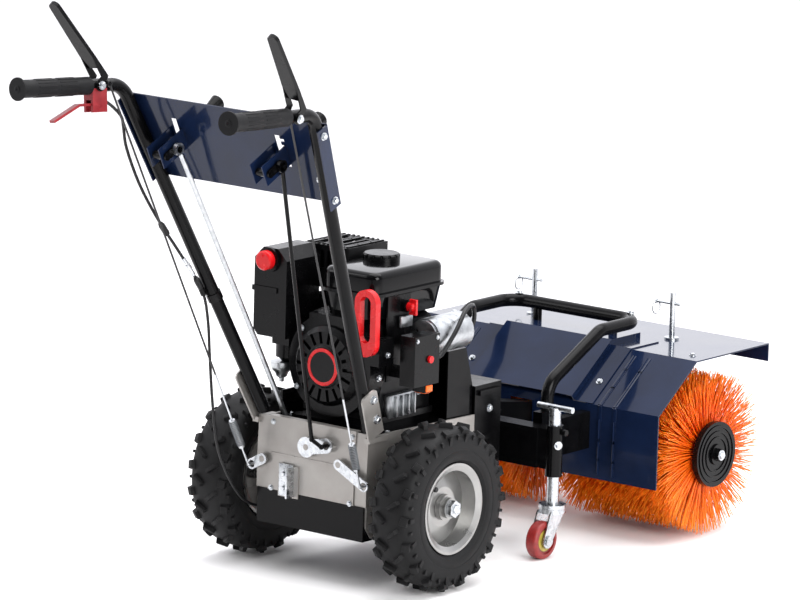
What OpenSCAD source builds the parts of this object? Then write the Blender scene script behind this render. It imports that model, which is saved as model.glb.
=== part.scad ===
// Walk-behind power brush sweeper: a two-wheel tractor unit with a swivelling brush deck.
// Millimetres. Everything is placed from the wheel axle, then moved so that the origin is
// the middle of the footprint on the floor. +Y is forward, +X is the operator's right.

/* [Wheels] */
// Radius of a tyre over its lugs
tyre_r = 165; // [150:1:175]
// Width of a tyre
tyre_w = 100; // [85:1:106]
// Distance between the middles of the two tyres
track = 448; // [442:1:470]
// Radius of the rim lip
lip_r = 89; // [85:1:94]
// Radius of the bead seat
bead_r = 77; // [72:1:80]
// Radius of the drive axle
axle_r = 12.5; // [10:0.5:14]
// Height of a tread lug
lug_h = 9; // [5:0.5:12]
// Lugs in each of the two rows
lug_n = 18; // [12:1:20]

/* [Chassis] */
// Width over the two side plates
chassis_w = 270; // [262:1:274]
// Thickness of a side plate
side_t = 4; // [3:0.5:5]
// Height of the engine deck above the floor
deck_z = 294; // [288:1:298]
// Height of the bottom pan above the floor
pan_z = 95; // [85:1:105]
// Rear face of the rear cover behind the axle
cover_y = 110; // [106:1:114]
// Front end of the side plates ahead of the axle
front_y = 228; // [222:1:236]
// Length of the front frame
nose_l = 84; // [78:1:90]
// Thickness of the sheet metal
sheet_t = 2.5; // [2:0.5:3]

/* [Handle] */
// Radius of the handle tubes
tube_r = 13; // [11:0.5:14]
// Length of a tube from its foot to the corner of its bend
tube_len = 740; // [715:1:770]
// Rake of the tubes to the rear
rake = 25.7; // [24:0.1:27.5]
// Lean of the tubes to the outside
lean = 8.8; // [7.8:0.1:9.8]
// Angle of the bend under the grips
bend = 60; // [57:0.5:63]
// Outward turn of the bend
splay = 4.6; // [2:0.1:7]
// Middle radius of the bend
bend_r = 50; // [42:1:56]
// Straight tube between bend and grip
neck_l = 60; // [58:1:70]
// Length of a grip
grip_len = 183; // [150:1:195]
// Radius of a grip
grip_r = 17; // [16:0.5:18]
// Length of a hand lever from its pivot
lever_len = 189; // [165:1:200]
// Angle of a released hand lever over its grip
lever_rest = 49; // [46:1:54]
// Height of the control panel along its slope
panel_h = 180; // [165:1:195]

/* [Engine] */
// Height of the crankshaft above the deck
crank_h = 120; // [114:1:126]
// Radius of the recoil starter cup
recoil_r = 78; // [72:1:84]
// Radius of the fan shroud
shroud_r = 100; // [96:1:104]
// Width of the fuel tank
tank_w = 134; // [116:1:140]
// Length of the fuel tank
tank_l = 220; // [200:1:226]
// Height of the fuel tank
tank_h = 92; // [86:1:104]
// Width of the air box
air_w = 80; // [70:1:90]
// Depth of the air box
air_d = 102; // [95:1:106]
// Height of the air box
air_h = 175; // [165:1:185]
// Length of the loop of the starter grip
pull_h = 130; // [115:1:136]

/* [Brush deck] */
// Radius of the brush
brush_r = 166; // [155:1:172]
// Length of the brush over its end discs
brush_w = 714; // [680:1:760]
// Brush axle ahead of the wheel axle
brush_y = 738; // [730:1:760]
// Clear height of the bristles over the floor
brush_gap = 2; // [1:0.5:10]
// Radius of an end disc
disc_r = 66; // [60:1:72]
// Clearance between the bristles and the rear wall of the hood
hood_gap = 12; // [8:1:20]
// Width of the hood
hood_w = 676; // [650:1:690]
// Height of the hood's lower edge above the floor
hood_z = 120; // [105:1:130]
// Swivel pivot of the deck ahead of the wheel axle
pivot_y = 345; // [342:1:350]
// Radius of the pivot pin
pivot_r = 12; // [10:0.5:14]
// Radius of the guard bar
bar_r = 13; // [11:0.5:15]
// Height of the posts on the hood
post_h = 95; // [80:1:110]
// Radius of a post
post_r = 6; // [5:0.5:7]

/* [Castors] */
// Radius of a castor wheel
castor_r = 37.5; // [35:0.5:40]
// Width of a castor wheel
castor_w = 26; // [22:1:28]
// Distance between the two castor stems
castor_track = 440; // [430:1:460]
// Castor stems ahead of the wheel axle
castor_y = 378; // [376:1:384]
// Trail of a castor wheel behind its stem
castor_trail = 33; // [28:1:36]
// Radius of a castor stem
stem_r = 12; // [10:0.5:13]

/* [Hidden] */
$fn = 64;
// Overrun of cuts, running fit on a radius, seat of curved faces, running gap of faces
over = 1; fit = 0.05; seat = 0.1; gap = 0.3;
edge_r = 3; wide_r = 10; thin = 0.5;
axle_z = tyre_r;
tyre_x = track / 2;
// Outline of half a tyre: share of the half width, share of the height from bead to crown
tyre_shares = [[0.6, 0], [0.66, 0.14], [0.9, 0.25], [1, 0.48], [0.97, 0.72], [0.84, 0.90], [0.55, 1]];
crown_r = tyre_r - lug_h;
lug_l = 40; lug_w = 16; lug_x = 25; lug_skew = 26; lug_sink = 8;
rim_w = 82; rim_t = 3; rim_drop = 5; rim_dish = 10; hub_r = 20; hub_out = 34; hub_in = 26; collar_r = 25;
collar_l = 10;
nut_r = 17; nut_h = 11;
hub_face = tyre_x + hub_out;
boss_r = 30; boss_t = 8;
side_x = chassis_w / 2; inner_x = side_x - side_t;
side_lo = 5; lug_half = 22; lug_top = 92; lug_foot = 10; flange_w = 38; jog_t = 10; jog_l = 60;
cover_half = 106; tag = [[-77, -28], [154, 217]]; tag_t = 3; cover_fold = 136; cover_lo = 68;
cover_top = 14; cover_lip = 16; cover_lean = 4;
plate_t = 4;
handle_y = -97; foot_gap = 6; foot_in = 5.3; foot_up = 14;
handle_x = side_x - foot_in;
handle_z = deck_z + foot_gap + foot_up;
pin_r = 4; head_r = 8; head_h = 3; cheek_t = 2.5; cheek_gap = 1;
pivot_at = 42; flange_r = 22; flange_h = 3;
cam_l = 18; cam_deg = 174; cam_off = 20; blade_up = 19; blade_t = 8; blade_from = 26; blade_tip = 11;
foot_r = 11; foot_clear = 13;
lever_swing = 45;
// Wires: hook ends on the clutch arms, sleeve and wire sizes
hook_x = 138; hook_y = -131; hook_z = 208; wire_r = 2; sleeve_r = 6; sleeve_l = 62; sleeve_up = 40;
eye_r = 6;
eye_t = 3; eye_slack = 1.6;
arm_t = 4; arm_y = -121; arm_r = 10.5; arm_hole = 7.5; arm_pin = 6; hook_r = 2.5; hook_l = 18;
brush_arm_at = [75, 240]; drive_arm_at = [-113, 222]; arm_tip_z = 208;
// Control panel
panel_top_z = 948; panel_slot = 13; panel_slot_l = 70; panel_slot_dn = 28; gear_x = 110; angle_x = -140;
cheek_x = 14; cheek_l = 42; cheek_past = 12;
ctl_pin = 5; ctl_bar = 5.5; ctl_len = 170; knob_r = 15; knob_l = 34; notch = 9; notch_n = 5;
ctl_down = 86; ctl_back = 50;
arm_out = 22; arm_len = 27; rod_r = 5; rod_eye = 12; rod_slack = 3.5; rod_side = 2.5; flange_d = 26;
ctl_swing = 20;
gear_pin = [44, 272]; gear_at = [-5, 262]; gear_end_y = -134; gear_bend = [20, 283]; gear_hole = 8;
crank_w = 46;
angle_foot = [-100, -100, 357]; angle_drop = 90; hole_gap = 1.5;
// Steering lever under the left grip, measured along and below the grip tube
steer_at = 42; steer_down = 38; steer_low = 50; steer_len = 112; steer_knee = 46; steer_drop = 28;
steer_t = 5; steer_w = 14;
steer_wall = 5; steer_l = 20; steer_root = 12;
steer_swing = 12;
// Engine
crank_z = deck_z + crank_h; plinth_h = 14; plinth_w = 170; plinth_y0 = -66; plinth_y1 = 146; up_h = 50;
up_l = 110;
case_w = 178; case_y0 = -15; case_y1 = 140; base_t = 12; base_w = 196;
cyl_deg = 25; cyl_y = 100; cyl_w = 88; cyl_from = 60; cyl_to = 126; head_to = 150; lid_to = 172;
fin_n = 7; fin_t = 3; fin_d = 12;
core_w = 64;
recoil_y = -80; shroud_y = -60; lobe_x = 120; lobe_h = 52; lobe_z = 14; slot_n = 18; slot_w = 7;
badge_r = 42;
tank_x = 32; tank_y = 60; tank_z = crank_z + 98; tank_rim = 7; tank_rim_t = 6; tank_mid_share = 0.5;
tank_crown = 8;
tank_in = 14; corner_r = 24; corner_n = 6;
neck_r = 30; neck_h = 8; cap_r = 36; cap_h = 14; cap_at = [-22, 20]; cap_n = 14; cap_cut = 3;
air_x = -158; air_y0 = -52; air_z = crank_z + 32; air_cham = 22; choke_z = 152; choke_r = 19;
choke_l = 16; choke_pin = 7;
choke_seat_r = 25; choke_seat_l = 6; choke_in = 2;
bowl_r = 24; bowl_h = 26; bowl_nut = 8; bowl_cone = 14; carb_w = 42; carb_h = 20; carb_y = 4;
muf_x = -108; muf_y = 117; muf_w = 90; muf_d = 100; muf_h = 70; muf_z = crank_z + 124; guard_gap = 8;
guard_t = 3; bar_n = 6;
pipe_r = 15;
pull_x = 104; pull_w = 52; pull_t = 14; pull_wall = 13; pull_base = 27; pull_y = -86;
pull_z = crank_z + 36; guide_r = 9;
sbox = [36, 76, 98]; sbox_x = 140; sbox_y = -20; sbox_z = crank_z - 24; plate_y0 = -14; plate_y1 = 56;
plate_h = 166;
btn_r = 7; btn_h = 5; btn_at = [46, 50]; btn_in = 4; inlet = [30, 22, 16];
key_at = [36, 143]; key_r = 12; key_l = 16; key_pin = 5; key_seat = 11; key_in = 8;
motor_r = 36; motor_out = 39; motor_x = case_w / 2 + motor_out; motor_z = crank_z + 56;
motor_y0 = 72; motor_y1 = 180; motor_cap = 6;
motor_gland = 8; motor_foot = 60;
belt_w = 256; belt_y0 = 148; belt_top = 136; belt_low = 56; belt_run = 24; belt_t = 3;
shaft_r = 11; shaft_l = 58; seal_r = 44; seal_t = 6; port_r = 16; port_x = 24; port_z = 30;
// Front frame and swivel
nose_lo = 130; nose_hi = 350; nose_t = 4; lug_t = 10; lug_lo = 150; lug_hi = 266; lug_r = 30; tongue_r = 26;
rib_t = 6; rib_d = 10;
nose_y = front_y + nose_l;
// Deck
brush_z = brush_r + brush_gap;
hood_back = brush_y - brush_r - hood_gap; hood_t = 3; hood_top_gap = 29; hood_front = 202; hood_lip = 37;
hood_rise = 93; hood_run = 125;
hood_top = brush_z + brush_r + hood_top_gap;
beam_x = 190; beam_y0 = 360; beam_y1 = 400; beam_z0 = 175; beam_z1 = 255; arm_x = 161; arm_w = 22;
arm_lo = 180; arm_hi = 276;
sleeve_or = 17; sleeve_z0 = 161; sleeve_z1 = 263; lock_r = 6; lock_l = 12; lock_z = 12;
case_t = 44; case_r = 52; case_y = 455; case_z = 215; case_slot = 6; case_clear = 12;
cov_w = 264; cov_flange = 46; cov_up = 12; cov_front = 80; cov_t = 2.5;
bar_up = 38; bar_rise = 136; bar_mid_y = 599; bar_front_y = 734; bar_y = 430; bar_bend = 45;
foot_x = 140; foot_r2 = 9;
post_x = 174; post_y = 828; post_base_r = 15; post_base_t = 4; cross_r = 3; cross_down = 22;
lynch_in = 38; lynch_out = 18; lynch_head = 5; lynch_head_l = 5; ring_r = 13; ring_w = 1.3;
// Castor stem, race, fork
race_r = 27; race_t = 8; race_z = 97; king_r = 7; king_head = 10; king_t = 4; fork_t = 3; fork_gap = 1.5;
fork_plate = 8.5;
bolt_r = 5; tee_z = 298; tee_r = 6; tee_l = 84; leg_w = 30; tread_r = 6; cw_hub_r = 27; cw_dip = 3;
// Brush
shaft_rr = 14; core_r = 40; core_in = 62; drum_r = 48; strand_n = 15; row_n = 14; root_w = 5;
tip_w = 3.4; sway = 7;
disc_t = 12; rib_n = 3; rib_h = 2; rib_w = 4; disc_nut_r = 13; disc_nut_h = 9; disc_cap_r = 21;
disc_cap_t = 4; disc_gap = 3;
half_w = brush_w / 2 - disc_t;
// Routes of the sheathed cable and of the starter lead, points in millimetres
cable_r = 3; cable_down = 32; cable_in = 6; cable_out = 10; cable_slack = 1.5; cable_z = 112;
cable_y = -40; cable_lead = 12;
cable_pts = [[-214, -440, 918], [-219, -425, 890], [-225, -408, 850], [-216, -380, 780], [-198, -345, 710],
    [-182, -288, 630], [-172, -240, 560], [-173, -220, 500], [-175, -210, 430], [-173, -200, 330],
    [-164, -190, 240], [-154, -150, 160], [-152, -100, 122]];
lead_r = 4.5; lead_x = 13; lead_at = [30.5, 52]; lead_out = 14;
lead_pts = [[142, 208, 490], [150, 192, 518], [162, 152, 514], [173, 110, 482]];

// Vectors and outlines
function unit(v) = v / norm(v);
function left(v) = [-v[1], v[0]];
function rev(p) = [for (i = [len(p) - 1 : -1 : 0]) p[i]];
function rx(a, p) = [p[0], p[1] * cos(a) - p[2] * sin(a), p[1] * sin(a) + p[2] * cos(a)];
function ry(a, p) = [p[0] * cos(a) + p[2] * sin(a), p[1], p[2] * cos(a) - p[0] * sin(a)];
function rz(a, p) = [p[0] * cos(a) - p[1] * sin(a), p[0] * sin(a) + p[1] * cos(a), p[2]];
function shift_pt(p, i, d) =
    let (a = i > 0 ? unit(p[i] - p[i - 1]) : unit(p[1] - p[0]),
         b = i < len(p) - 1 ? unit(p[i + 1] - p[i]) : a,
         m = unit(left(a) + left(b)))
    p[i] + m * (d / (m * left(a)));
function shift_path(p, d) = [for (i = [0 : len(p) - 1]) shift_pt(p, i, d)];
function arc(c, r, a0, a1, n) = [for (i = [0 : n]) c + r * [cos(a0 + (a1 - a0) * i / n),
    sin(a0 + (a1 - a0) * i / n)]];
function round_box(w, h, r, n) = concat(
    arc([w / 2 - r, h / 2 - r], r, 0, 90, n), arc([r - w / 2, h / 2 - r], r, 90, 180, n),
    arc([r - w / 2, r - h / 2], r, 180, 270, n), arc([w / 2 - r, r - h / 2], r, 270, 360, n));
module strip(p, d0, d1) polygon(concat(shift_path(p, d0), rev(shift_path(p, d1))));
module along_x(x0, x1) translate([x0, 0, 0]) rotate([90, 0, 90]) linear_extrude(x1 - x0) children();
module along_y(y0, y1) translate([0, y1, 0]) rotate([90, 0, 0]) linear_extrude(y1 - y0) children();
module rod_x(x0, x1, r) translate([x0, 0, 0]) rotate([0, 90, 0]) cylinder(h = x1 - x0, r = r);
module rod_y(y0, y1, r) translate([0, y1, 0]) rotate([90, 0, 0]) cylinder(h = y1 - y0, r = r);
module turn_x() rotate([0, 90, 0]) rotate_extrude() children();
module box(x0, x1, y0, y1, z0, z1) translate([x0, y0, z0]) cube([x1 - x0, y1 - y0, z1 - z0]);
module pair() { children(); mirror([1, 0, 0]) children(); }
module to_left() mirror([1, 0, 0]) children();
module aim(p, q) {
    d = q - p;
    translate(p) rotate([0, acos(d[2] / norm(d)), atan2(d[1], d[0])]) children();
}
module rod(p, q, r) aim(p, q) cylinder(h = norm(q - p), r = r);
// Stadium outline between two points, as a square between two circles
module stadium(p, q, r) {
    translate(p) circle(r);
    translate(q) circle(r);
    translate(p) rotate(atan2(q[1] - p[1], q[0] - p[0])) translate([0, seat - r])
        square([norm(q - p), 2 * (r - seat)]);
}
// Tube bent round the corners of a path, with true straight and bent lengths
module bent_tube(p, r, bend_rad) {
    n = len(p);
    cut = [for (i = [0 : n - 1]) i == 0 || i == n - 1 ? 0
        : bend_rad / tan(acos(unit(p[i - 1] - p[i]) * unit(p[i + 1] - p[i])) / 2)];
    for (i = [0 : n - 2]) let (u = unit(p[i + 1] - p[i]), a = max(cut[i] - thin, 0),
        b = max(cut[i + 1] - thin, 0))
        rod(p[i] + u * a, p[i + 1] - u * b, r);
    for (i = [1 : n - 2])
        let (u = unit(p[i - 1] - p[i]), w = unit(p[i + 1] - p[i]), f = acos(u * w),
             c = p[i] + unit(u + w) * bend_rad / sin(f / 2),
             e1 = unit(p[i] + u * cut[i] - c), e3 = unit(cross(e1, p[i] + w * cut[i] - c)),
                 e2 = cross(e3, e1))
        multmatrix([[e1[0], e2[0], e3[0], c[0]], [e1[1], e2[1], e3[1], c[1]], [e1[2], e2[2], e3[2], c[2]]])
            rotate_extrude(angle = 180 - f) translate([bend_rad, 0]) circle(r + seat);
}
// Tube swept along a smooth route through given points
function route(p, m) = concat([for (i = [0 : len(p) - 2]) for (k = [0 : m - 1])
    let (a = p[max(i - 1, 0)], b = p[i], c = p[i + 1], d = p[min(i + 2, len(p) - 1)], t = k / m)
    (b * 2 + (c - a) * t + (a * 2 - b * 5 + c * 4 - d) * t * t + (b * 3 - c * 3 + d - a) * t * t * t) / 2],
    [p[len(p) - 1]]);
function frames(q, i, e) = i >= len(q) ? [] :
    let (t = unit(q[min(i + 1, len(q) - 1)] - q[max(i - 1, 0)]), u = unit(e - t * (e * t)))
    concat([[u, cross(t, u)]], frames(q, i + 1, u));
module swept(p, r, m, sides) {
    q = route(p, m);
    f = frames(q, 0, [1, 0, 0.1]);
    n = len(q);
    pts = concat([for (i = [0 : n - 1]) for (k = [0 : sides - 1])
        q[i] + f[i][0] * r * cos(360 * k / sides) + f[i][1] * r * sin(360 * k / sides)], [q[0], q[n - 1]]);
    faces = concat(
        [for (i = [0 : n - 2]) for (k = [0 : sides - 1]) [i * sides + k, (i + 1) * sides + k,
            i * sides + (k + 1) % sides]],
        [for (i = [0 : n - 2]) for (k = [0 : sides - 1])
            [(i + 1) * sides + k, (i + 1) * sides + (k + 1) % sides, i * sides + (k + 1) % sides]],
        [for (k = [0 : sides - 1]) [n * sides, k, (k + 1) % sides]],
        [for (k = [0 : sides - 1]) [n * sides + 1, (n - 1) * sides + (k + 1) % sides,
            (n - 1) * sides + k]]);
    polyhedron(pts, faces);
}

// Places along the right-hand handle tube and grip
handle_o = [handle_x, handle_y, handle_z];
tube_to_bend = tube_len - bend_r * tan(bend / 2);
bend_end = [0, bend_r * (cos(bend) - 1), tube_to_bend + bend_r * sin(bend)];
grip_end = neck_l + grip_len;
function on_tube(p) = handle_o + ry(lean, rx(rake, p));
function on_grip(p) = on_tube(rz(splay, bend_end + rx(bend, p)));
module at_tube() translate(handle_o) rotate([rake, lean, 0]) children();
module at_grip() at_tube() rotate([0, 0, splay]) translate(bend_end) rotate([bend, 0, 0]) children();
// Slope of the plane through both tubes, and its middle line
slope = atan(tan(rake) / cos(lean));
function tube_at(z) = on_tube([0, 0, (z - handle_z) / (cos(rake) * cos(lean))]);
cam_mid = cam_deg - lever_swing / 2;
eye_at = cam_l * [sin(cam_deg), cos(cam_deg)] + (eye_slack - gap) * [sin(cam_mid), cos(cam_mid)];
wire_top = on_grip([-cam_off, eye_at[0], pivot_at + eye_at[1]]);
wire_end = [hook_x, hook_y, hook_z];
wire_dir = unit(wire_end - wire_top);
wire_pull = 2 * cam_l * sin(lever_swing / 2);
// Footprint
rear_tip = on_grip([0, 0, grip_end]);
grip_dir = unit(rear_tip - on_grip([0, 0, 0]));
rear_y = rear_tip[1] - flange_r * sqrt(1 - grip_dir[1] * grip_dir[1]);
hood_front_y = brush_y + hood_front;
mid_y = (rear_y + hood_front_y) / 2;
module place() translate([0, -mid_y, 0]) children();

// Wheels
module tyre() {
    half = tyre_w / 2;
    rise = crown_r - bead_r - fit;
    out = [for (s = tyre_shares) [bead_r + fit + rise * s[1], half * s[0]]];
    color("#1c1c1d") translate([tyre_x, 0, axle_z]) {
        turn_x() polygon(concat([for (p = out) [p[0], -p[1]]], rev(out)));
        intersection() {
            rod_x(-half, half, tyre_r);
            for (i = [0 : lug_n - 1]) for (s = [-1, 1]) rotate([(i + (s + 1) / 4) * 360 / lug_n + 180, 0,
                0])
                translate([s * lug_x, 0, (tyre_r + crown_r - lug_sink + over) / 2]) rotate([0, 0,
                    s * lug_skew])
                    cube([lug_l, lug_w, tyre_r - crown_r + lug_sink + over], center = true);
        }
    }
}
module rim() {
    half = rim_w / 2;
    out = [[bead_r - fit, half - rim_drop - rim_t], [lip_r - rim_drop, half - rim_t - thin], [lip_r,
        half - rim_t], [lip_r, half],
           [lip_r - rim_drop, half], [bead_r - rim_t, half - rim_drop]];
    color("#c9c8c4") translate([tyre_x, 0, axle_z]) difference() {
        union() {
            turn_x() polygon(concat(out, [for (p = rev(out)) [p[0], -p[1]]]));
            turn_x() polygon([[hub_r - thin, rim_dish], [bead_r / 2, rim_dish], [bead_r - rim_t + thin, 0],
                [bead_r - rim_t + thin, rim_t], [bead_r / 2, rim_dish + rim_t], [hub_r - thin,
                    rim_dish + rim_t]]);
            rod_x(-hub_in, hub_out, hub_r);
            rod_x(hub_out - collar_l * 2, hub_out - collar_l, collar_r);
        }
        rod_x(-hub_in - over, hub_out + over, axle_r + fit);
    }
}
module axle() color("#b9bcc0") translate([0, 0, axle_z]) {
    rod_x(-hub_face - gap, hub_face + gap, axle_r);
    pair() translate([hub_face + gap, 0, 0]) rotate([0, 90, 0]) cylinder(h = nut_h, r = nut_r, $fn = 6);
}

// Chassis
module side_plate() {
    z0 = pan_z + side_lo;
    difference() {
        union() {
            along_x(inner_x, side_x) polygon([[-cover_y + sheet_t * 2, z0 + lug_half],
                [-cover_y + lug_half, z0], [front_y, z0],
                [front_y, deck_z], [-cover_y + lug_top, deck_z + foot_gap], [-cover_y + sheet_t * 2,
                    deck_z + foot_gap]]);
            along_x(side_x - flange_w, side_x) strip([for (i = [0 : 2]) cover_path[i]], -side_t, 0);
            at_tube() translate([tube_r + seat, 0, 0]) rotate([90, 0,
                90]) linear_extrude(side_t) polygon(concat(
                [[lug_half, -lug_foot]], arc([lug_half - wide_r, lug_top - wide_r], wide_r, 0, 90, 4),
                arc([wide_r - lug_half, lug_top - wide_r], wide_r, 90, 180, 4), [[-lug_half, -lug_foot]]));
            box(inner_x, handle_x + (tube_r + seat) / cos(lean) + side_t / 2, handle_y - jog_l / 4,
                handle_y + jog_l * 3 / 4,
                deck_z + foot_gap - jog_t, deck_z + foot_gap);
            translate([side_x, 0, axle_z]) rod_x(-thin, boss_t, boss_r);
        }
        translate([inner_x, 0, axle_z]) rod_x(-over, side_t + boss_t + over, axle_r + fit);
    }
}
module side_plates() color("#a9a49d") {
    pair() side_plate();
    translate([drive_arm_at[0], 0, drive_arm_at[1]]) rod_y(arm_y - gap, -cover_y + sheet_t, arm_pin);
}
module engine_deck() color("#18191b") difference() {
    union() {
        box(-inner_x, inner_x, -cover_y + cover_lip + sheet_t, front_y, deck_z - plate_t, deck_z);
        box(-plinth_w / 2, plinth_w / 2, plinth_y0, plinth_y1, deck_z - thin, deck_z + plinth_h);
        box(-inner_x, plate_t - inner_x, plinth_y0 + lug_half, plinth_y0 + up_l, deck_z - thin,
            deck_z + up_h);
    }
    box(-plinth_w / 2 + plate_t, plinth_w / 2 - plate_t, plinth_y0 + plate_t, plinth_y1 - plate_t,
        deck_z - plate_t - over, deck_z + plinth_h - plate_t);
    rod(angle_foot - angle_dir * angle_drop, angle_foot + angle_dir * angle_drop, rod_r + hole_gap);
}
cover_path = [[-cover_y + sheet_t, pan_z + cover_lo], [-cover_y + sheet_t, pan_z + cover_fold],
    [-cover_y + sheet_t + cover_lean, deck_z + cover_top - sheet_t], [-cover_y + sheet_t + cover_lip,
        deck_z + cover_top - sheet_t]];
module rear_cover() color("#a9a49d") {
    along_x(-cover_half, cover_half) strip(cover_path, 0, sheet_t);
    box(tag[0][0], tag[0][1], -cover_y - tag_t, -cover_y, tag[1][0], tag[1][1]);
    translate([gear_at[0], 0, gear_at[1]]) rod_y(arm_y - gap, -cover_y + sheet_t, arm_pin);
    translate([brush_arm_at[0], 0, brush_arm_at[1]]) rod_y(arm_y - gap, -cover_y + sheet_t, arm_pin);
}
module bottom_pan() color("#141416") difference() {
    box(-inner_x, inner_x, -cover_y, front_y, pan_z, pan_z + cover_lo);
    box(sheet_t - inner_x, inner_x - sheet_t, -cover_y + sheet_t, front_y - sheet_t, pan_z + sheet_t,
        pan_z + cover_lo + over);
    translate([0, 0, axle_z]) rod_x(-inner_x - over, inner_x + over, axle_r + edge_r);
}
module front_frame() color("#151517") {
    half = side_x;
    difference() {
        box(-half, half, front_y, nose_y, nose_lo, nose_hi);
        box(nose_t - half, half - nose_t, front_y - over, nose_y - nose_t, nose_lo - over,
            nose_hi - nose_t);
    }
    for (z = [nose_lo + lug_t, (nose_lo + nose_hi) / 2, nose_hi - rib_d * 2]) pair()
        box(half - thin, half + rib_t, front_y + rib_d, nose_y - rib_d, z, z + rib_d);
    for (z = [lug_lo, lug_hi]) {
        translate([0, pivot_y, z]) cylinder(h = lug_t, r = lug_r);
        box(-lug_r, lug_r, nose_y - thin, pivot_y, z, z + lug_t);
    }
    translate([0, pivot_y, lug_lo]) cylinder(h = lug_hi + lug_t - lug_lo, r = pivot_r);
}
module belt_cover() color("#161618") {
    out = [[belt_y0, deck_z], [front_y, deck_z], [front_y, deck_z + belt_low], [front_y - belt_run,
        deck_z + belt_top],
        [belt_y0, deck_z + belt_top]];
    cut = [[belt_y0 - over, deck_z - over], [front_y - belt_t, deck_z - over], [front_y - belt_t,
        deck_z + belt_low - belt_t],
        [front_y - belt_run - belt_t, deck_z + belt_top - belt_t], [belt_y0 - over,
            deck_z + belt_top - belt_t]];
    difference() {
        along_x(-belt_w / 2, belt_w / 2) polygon(out);
        along_x(belt_t - belt_w / 2, belt_w / 2 - belt_t) polygon(cut);
    }
}

// Handle
module handle_tube() {
    at_tube() {
        cylinder(h = tube_to_bend + thin, r = tube_r);
        rotate([0, 0, splay]) translate([0, -bend_r, tube_to_bend]) rotate([90, 0, 90])
            rotate_extrude(angle = bend) translate([bend_r, 0]) circle(tube_r + seat);
    }
    at_grip() translate([0, 0, -thin]) cylinder(h = grip_end - flange_h + thin, r = tube_r);
    pin_half = tube_r + cheek_gap + cheek_t + gap;
    at_grip() translate([0, 0, pivot_at]) {
        rod_x(-pin_half, pin_half, pin_r);
        pair() rod_x(pin_half, pin_half + head_h, head_r);
    }
}
module handle_tubes() color("#17181a") pair() handle_tube();
module grips() color("#2b2b2c") pair() at_grip() difference() {
    union() {
        translate([0, 0, neck_l]) cylinder(h = grip_len, r = grip_r);
        translate([0, 0, grip_end - flange_h]) cylinder(h = flange_h, r = flange_r);
    }
    translate([0, 0, neck_l - over]) cylinder(h = grip_len + over - flange_h, r = tube_r + fit);
}
// Panel frame: origin on the middle line at the top edge, local Y up the slope, local Z to the rear
panel_o = [0, tube_at(panel_top_z)[1], panel_top_z];
module at_panel() translate(panel_o) rotate([90 + slope, 0, 0]) children();
function on_panel(p) = panel_o + rx(90 + slope, p);
panel_z = tube_r + seat;
panel_edge = tube_at(panel_top_z)[0] + (tube_r + seat) / cos(lean) + sheet_t;
panel_take = tube_at(panel_top_z)[0] - tube_at(panel_top_z - panel_h * cos(slope))[0];
module control_panel() color("#1d2748") {
    at_panel() translate([0, 0, -panel_z - sheet_t]) linear_extrude(sheet_t) difference() {
        polygon([[-panel_edge, 0], [panel_edge, 0], [panel_edge - panel_take, -panel_h],
            [panel_take - panel_edge, -panel_h]]);
        for (x = [gear_x, angle_x]) translate([x - panel_slot / 2,
            -ctl_down - panel_slot_dn]) square([panel_slot, panel_slot_l]);
        for (i = [0 : notch_n - 1]) translate([gear_x,
            -ctl_down - panel_slot_dn + panel_slot_l * i / notch_n])
            square([panel_slot / 2 + notch, panel_slot_l / notch_n / 2]);
    }
    pair() at_tube() translate([tube_r + seat, -flange_d / 2,
        (panel_top_z - handle_z) / (cos(rake) * cos(lean)) - panel_h])
        cube([sheet_t, flange_d / 2 + tube_r + sheet_t, panel_h]);
    for (x = [gear_x, angle_x]) for (k = [-1, 1]) at_panel() translate([x + k * cheek_x, -ctl_down,
        0]) difference() {
        translate([-sheet_t / 2, -cheek_l / 2, -panel_z - thin]) cube([sheet_t, cheek_l,
            panel_z + thin + ctl_back + cheek_past]);
        translate([0, 0, ctl_back]) rod_x(-sheet_t, sheet_t, ctl_pin + fit);
    }
}
// Hand lever in the frame of the right-hand grip
module hand_lever() at_grip() translate([0, 0, pivot_at]) {
    inner = tube_r + cheek_gap;
    wide = inner + cheek_t;
    top = blade_up + blade_t;
    cam_tip = cam_l * [sin(cam_deg), cos(cam_deg)];
    rotate([-lever_rest, 0, 0]) {
        for (k = [0, 1]) mirror([k, 0, 0]) difference() {
            translate([inner, 0, 0]) rotate([90, 0, 90]) linear_extrude(cheek_t) union() {
                circle(foot_r);
                polygon([[0, -foot_r], [top, 0], [top, blade_from * 2], [blade_up, blade_from * 2],
                    [foot_clear, foot_r], [0, foot_r]]);
                if (k == 1) rotate(lever_rest) stadium([0, 0], cam_tip, pin_r + cheek_t);
            }
            rod_x(inner - over, wide + over, pin_r + fit);
        }
        translate([0, top, 0]) rotate([90, 0, 0]) linear_extrude(blade_t) polygon(concat(
            [[-wide + seat, blade_from * 2], [-wide + seat, blade_from], [wide - seat, blade_from],
                [wide - seat, blade_from * 2]],
            arc([0, lever_len - blade_tip], blade_tip, 0, 180, 8)));
    }
    translate([0, cam_tip[0], cam_tip[1]]) rod_x(-cam_off - eye_t, -inner - thin, hook_r);
}
module brush_lever() color("#1b1b1c") hand_lever();
module drive_lever() color("#1b1b1c") to_left() hand_lever();
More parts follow.
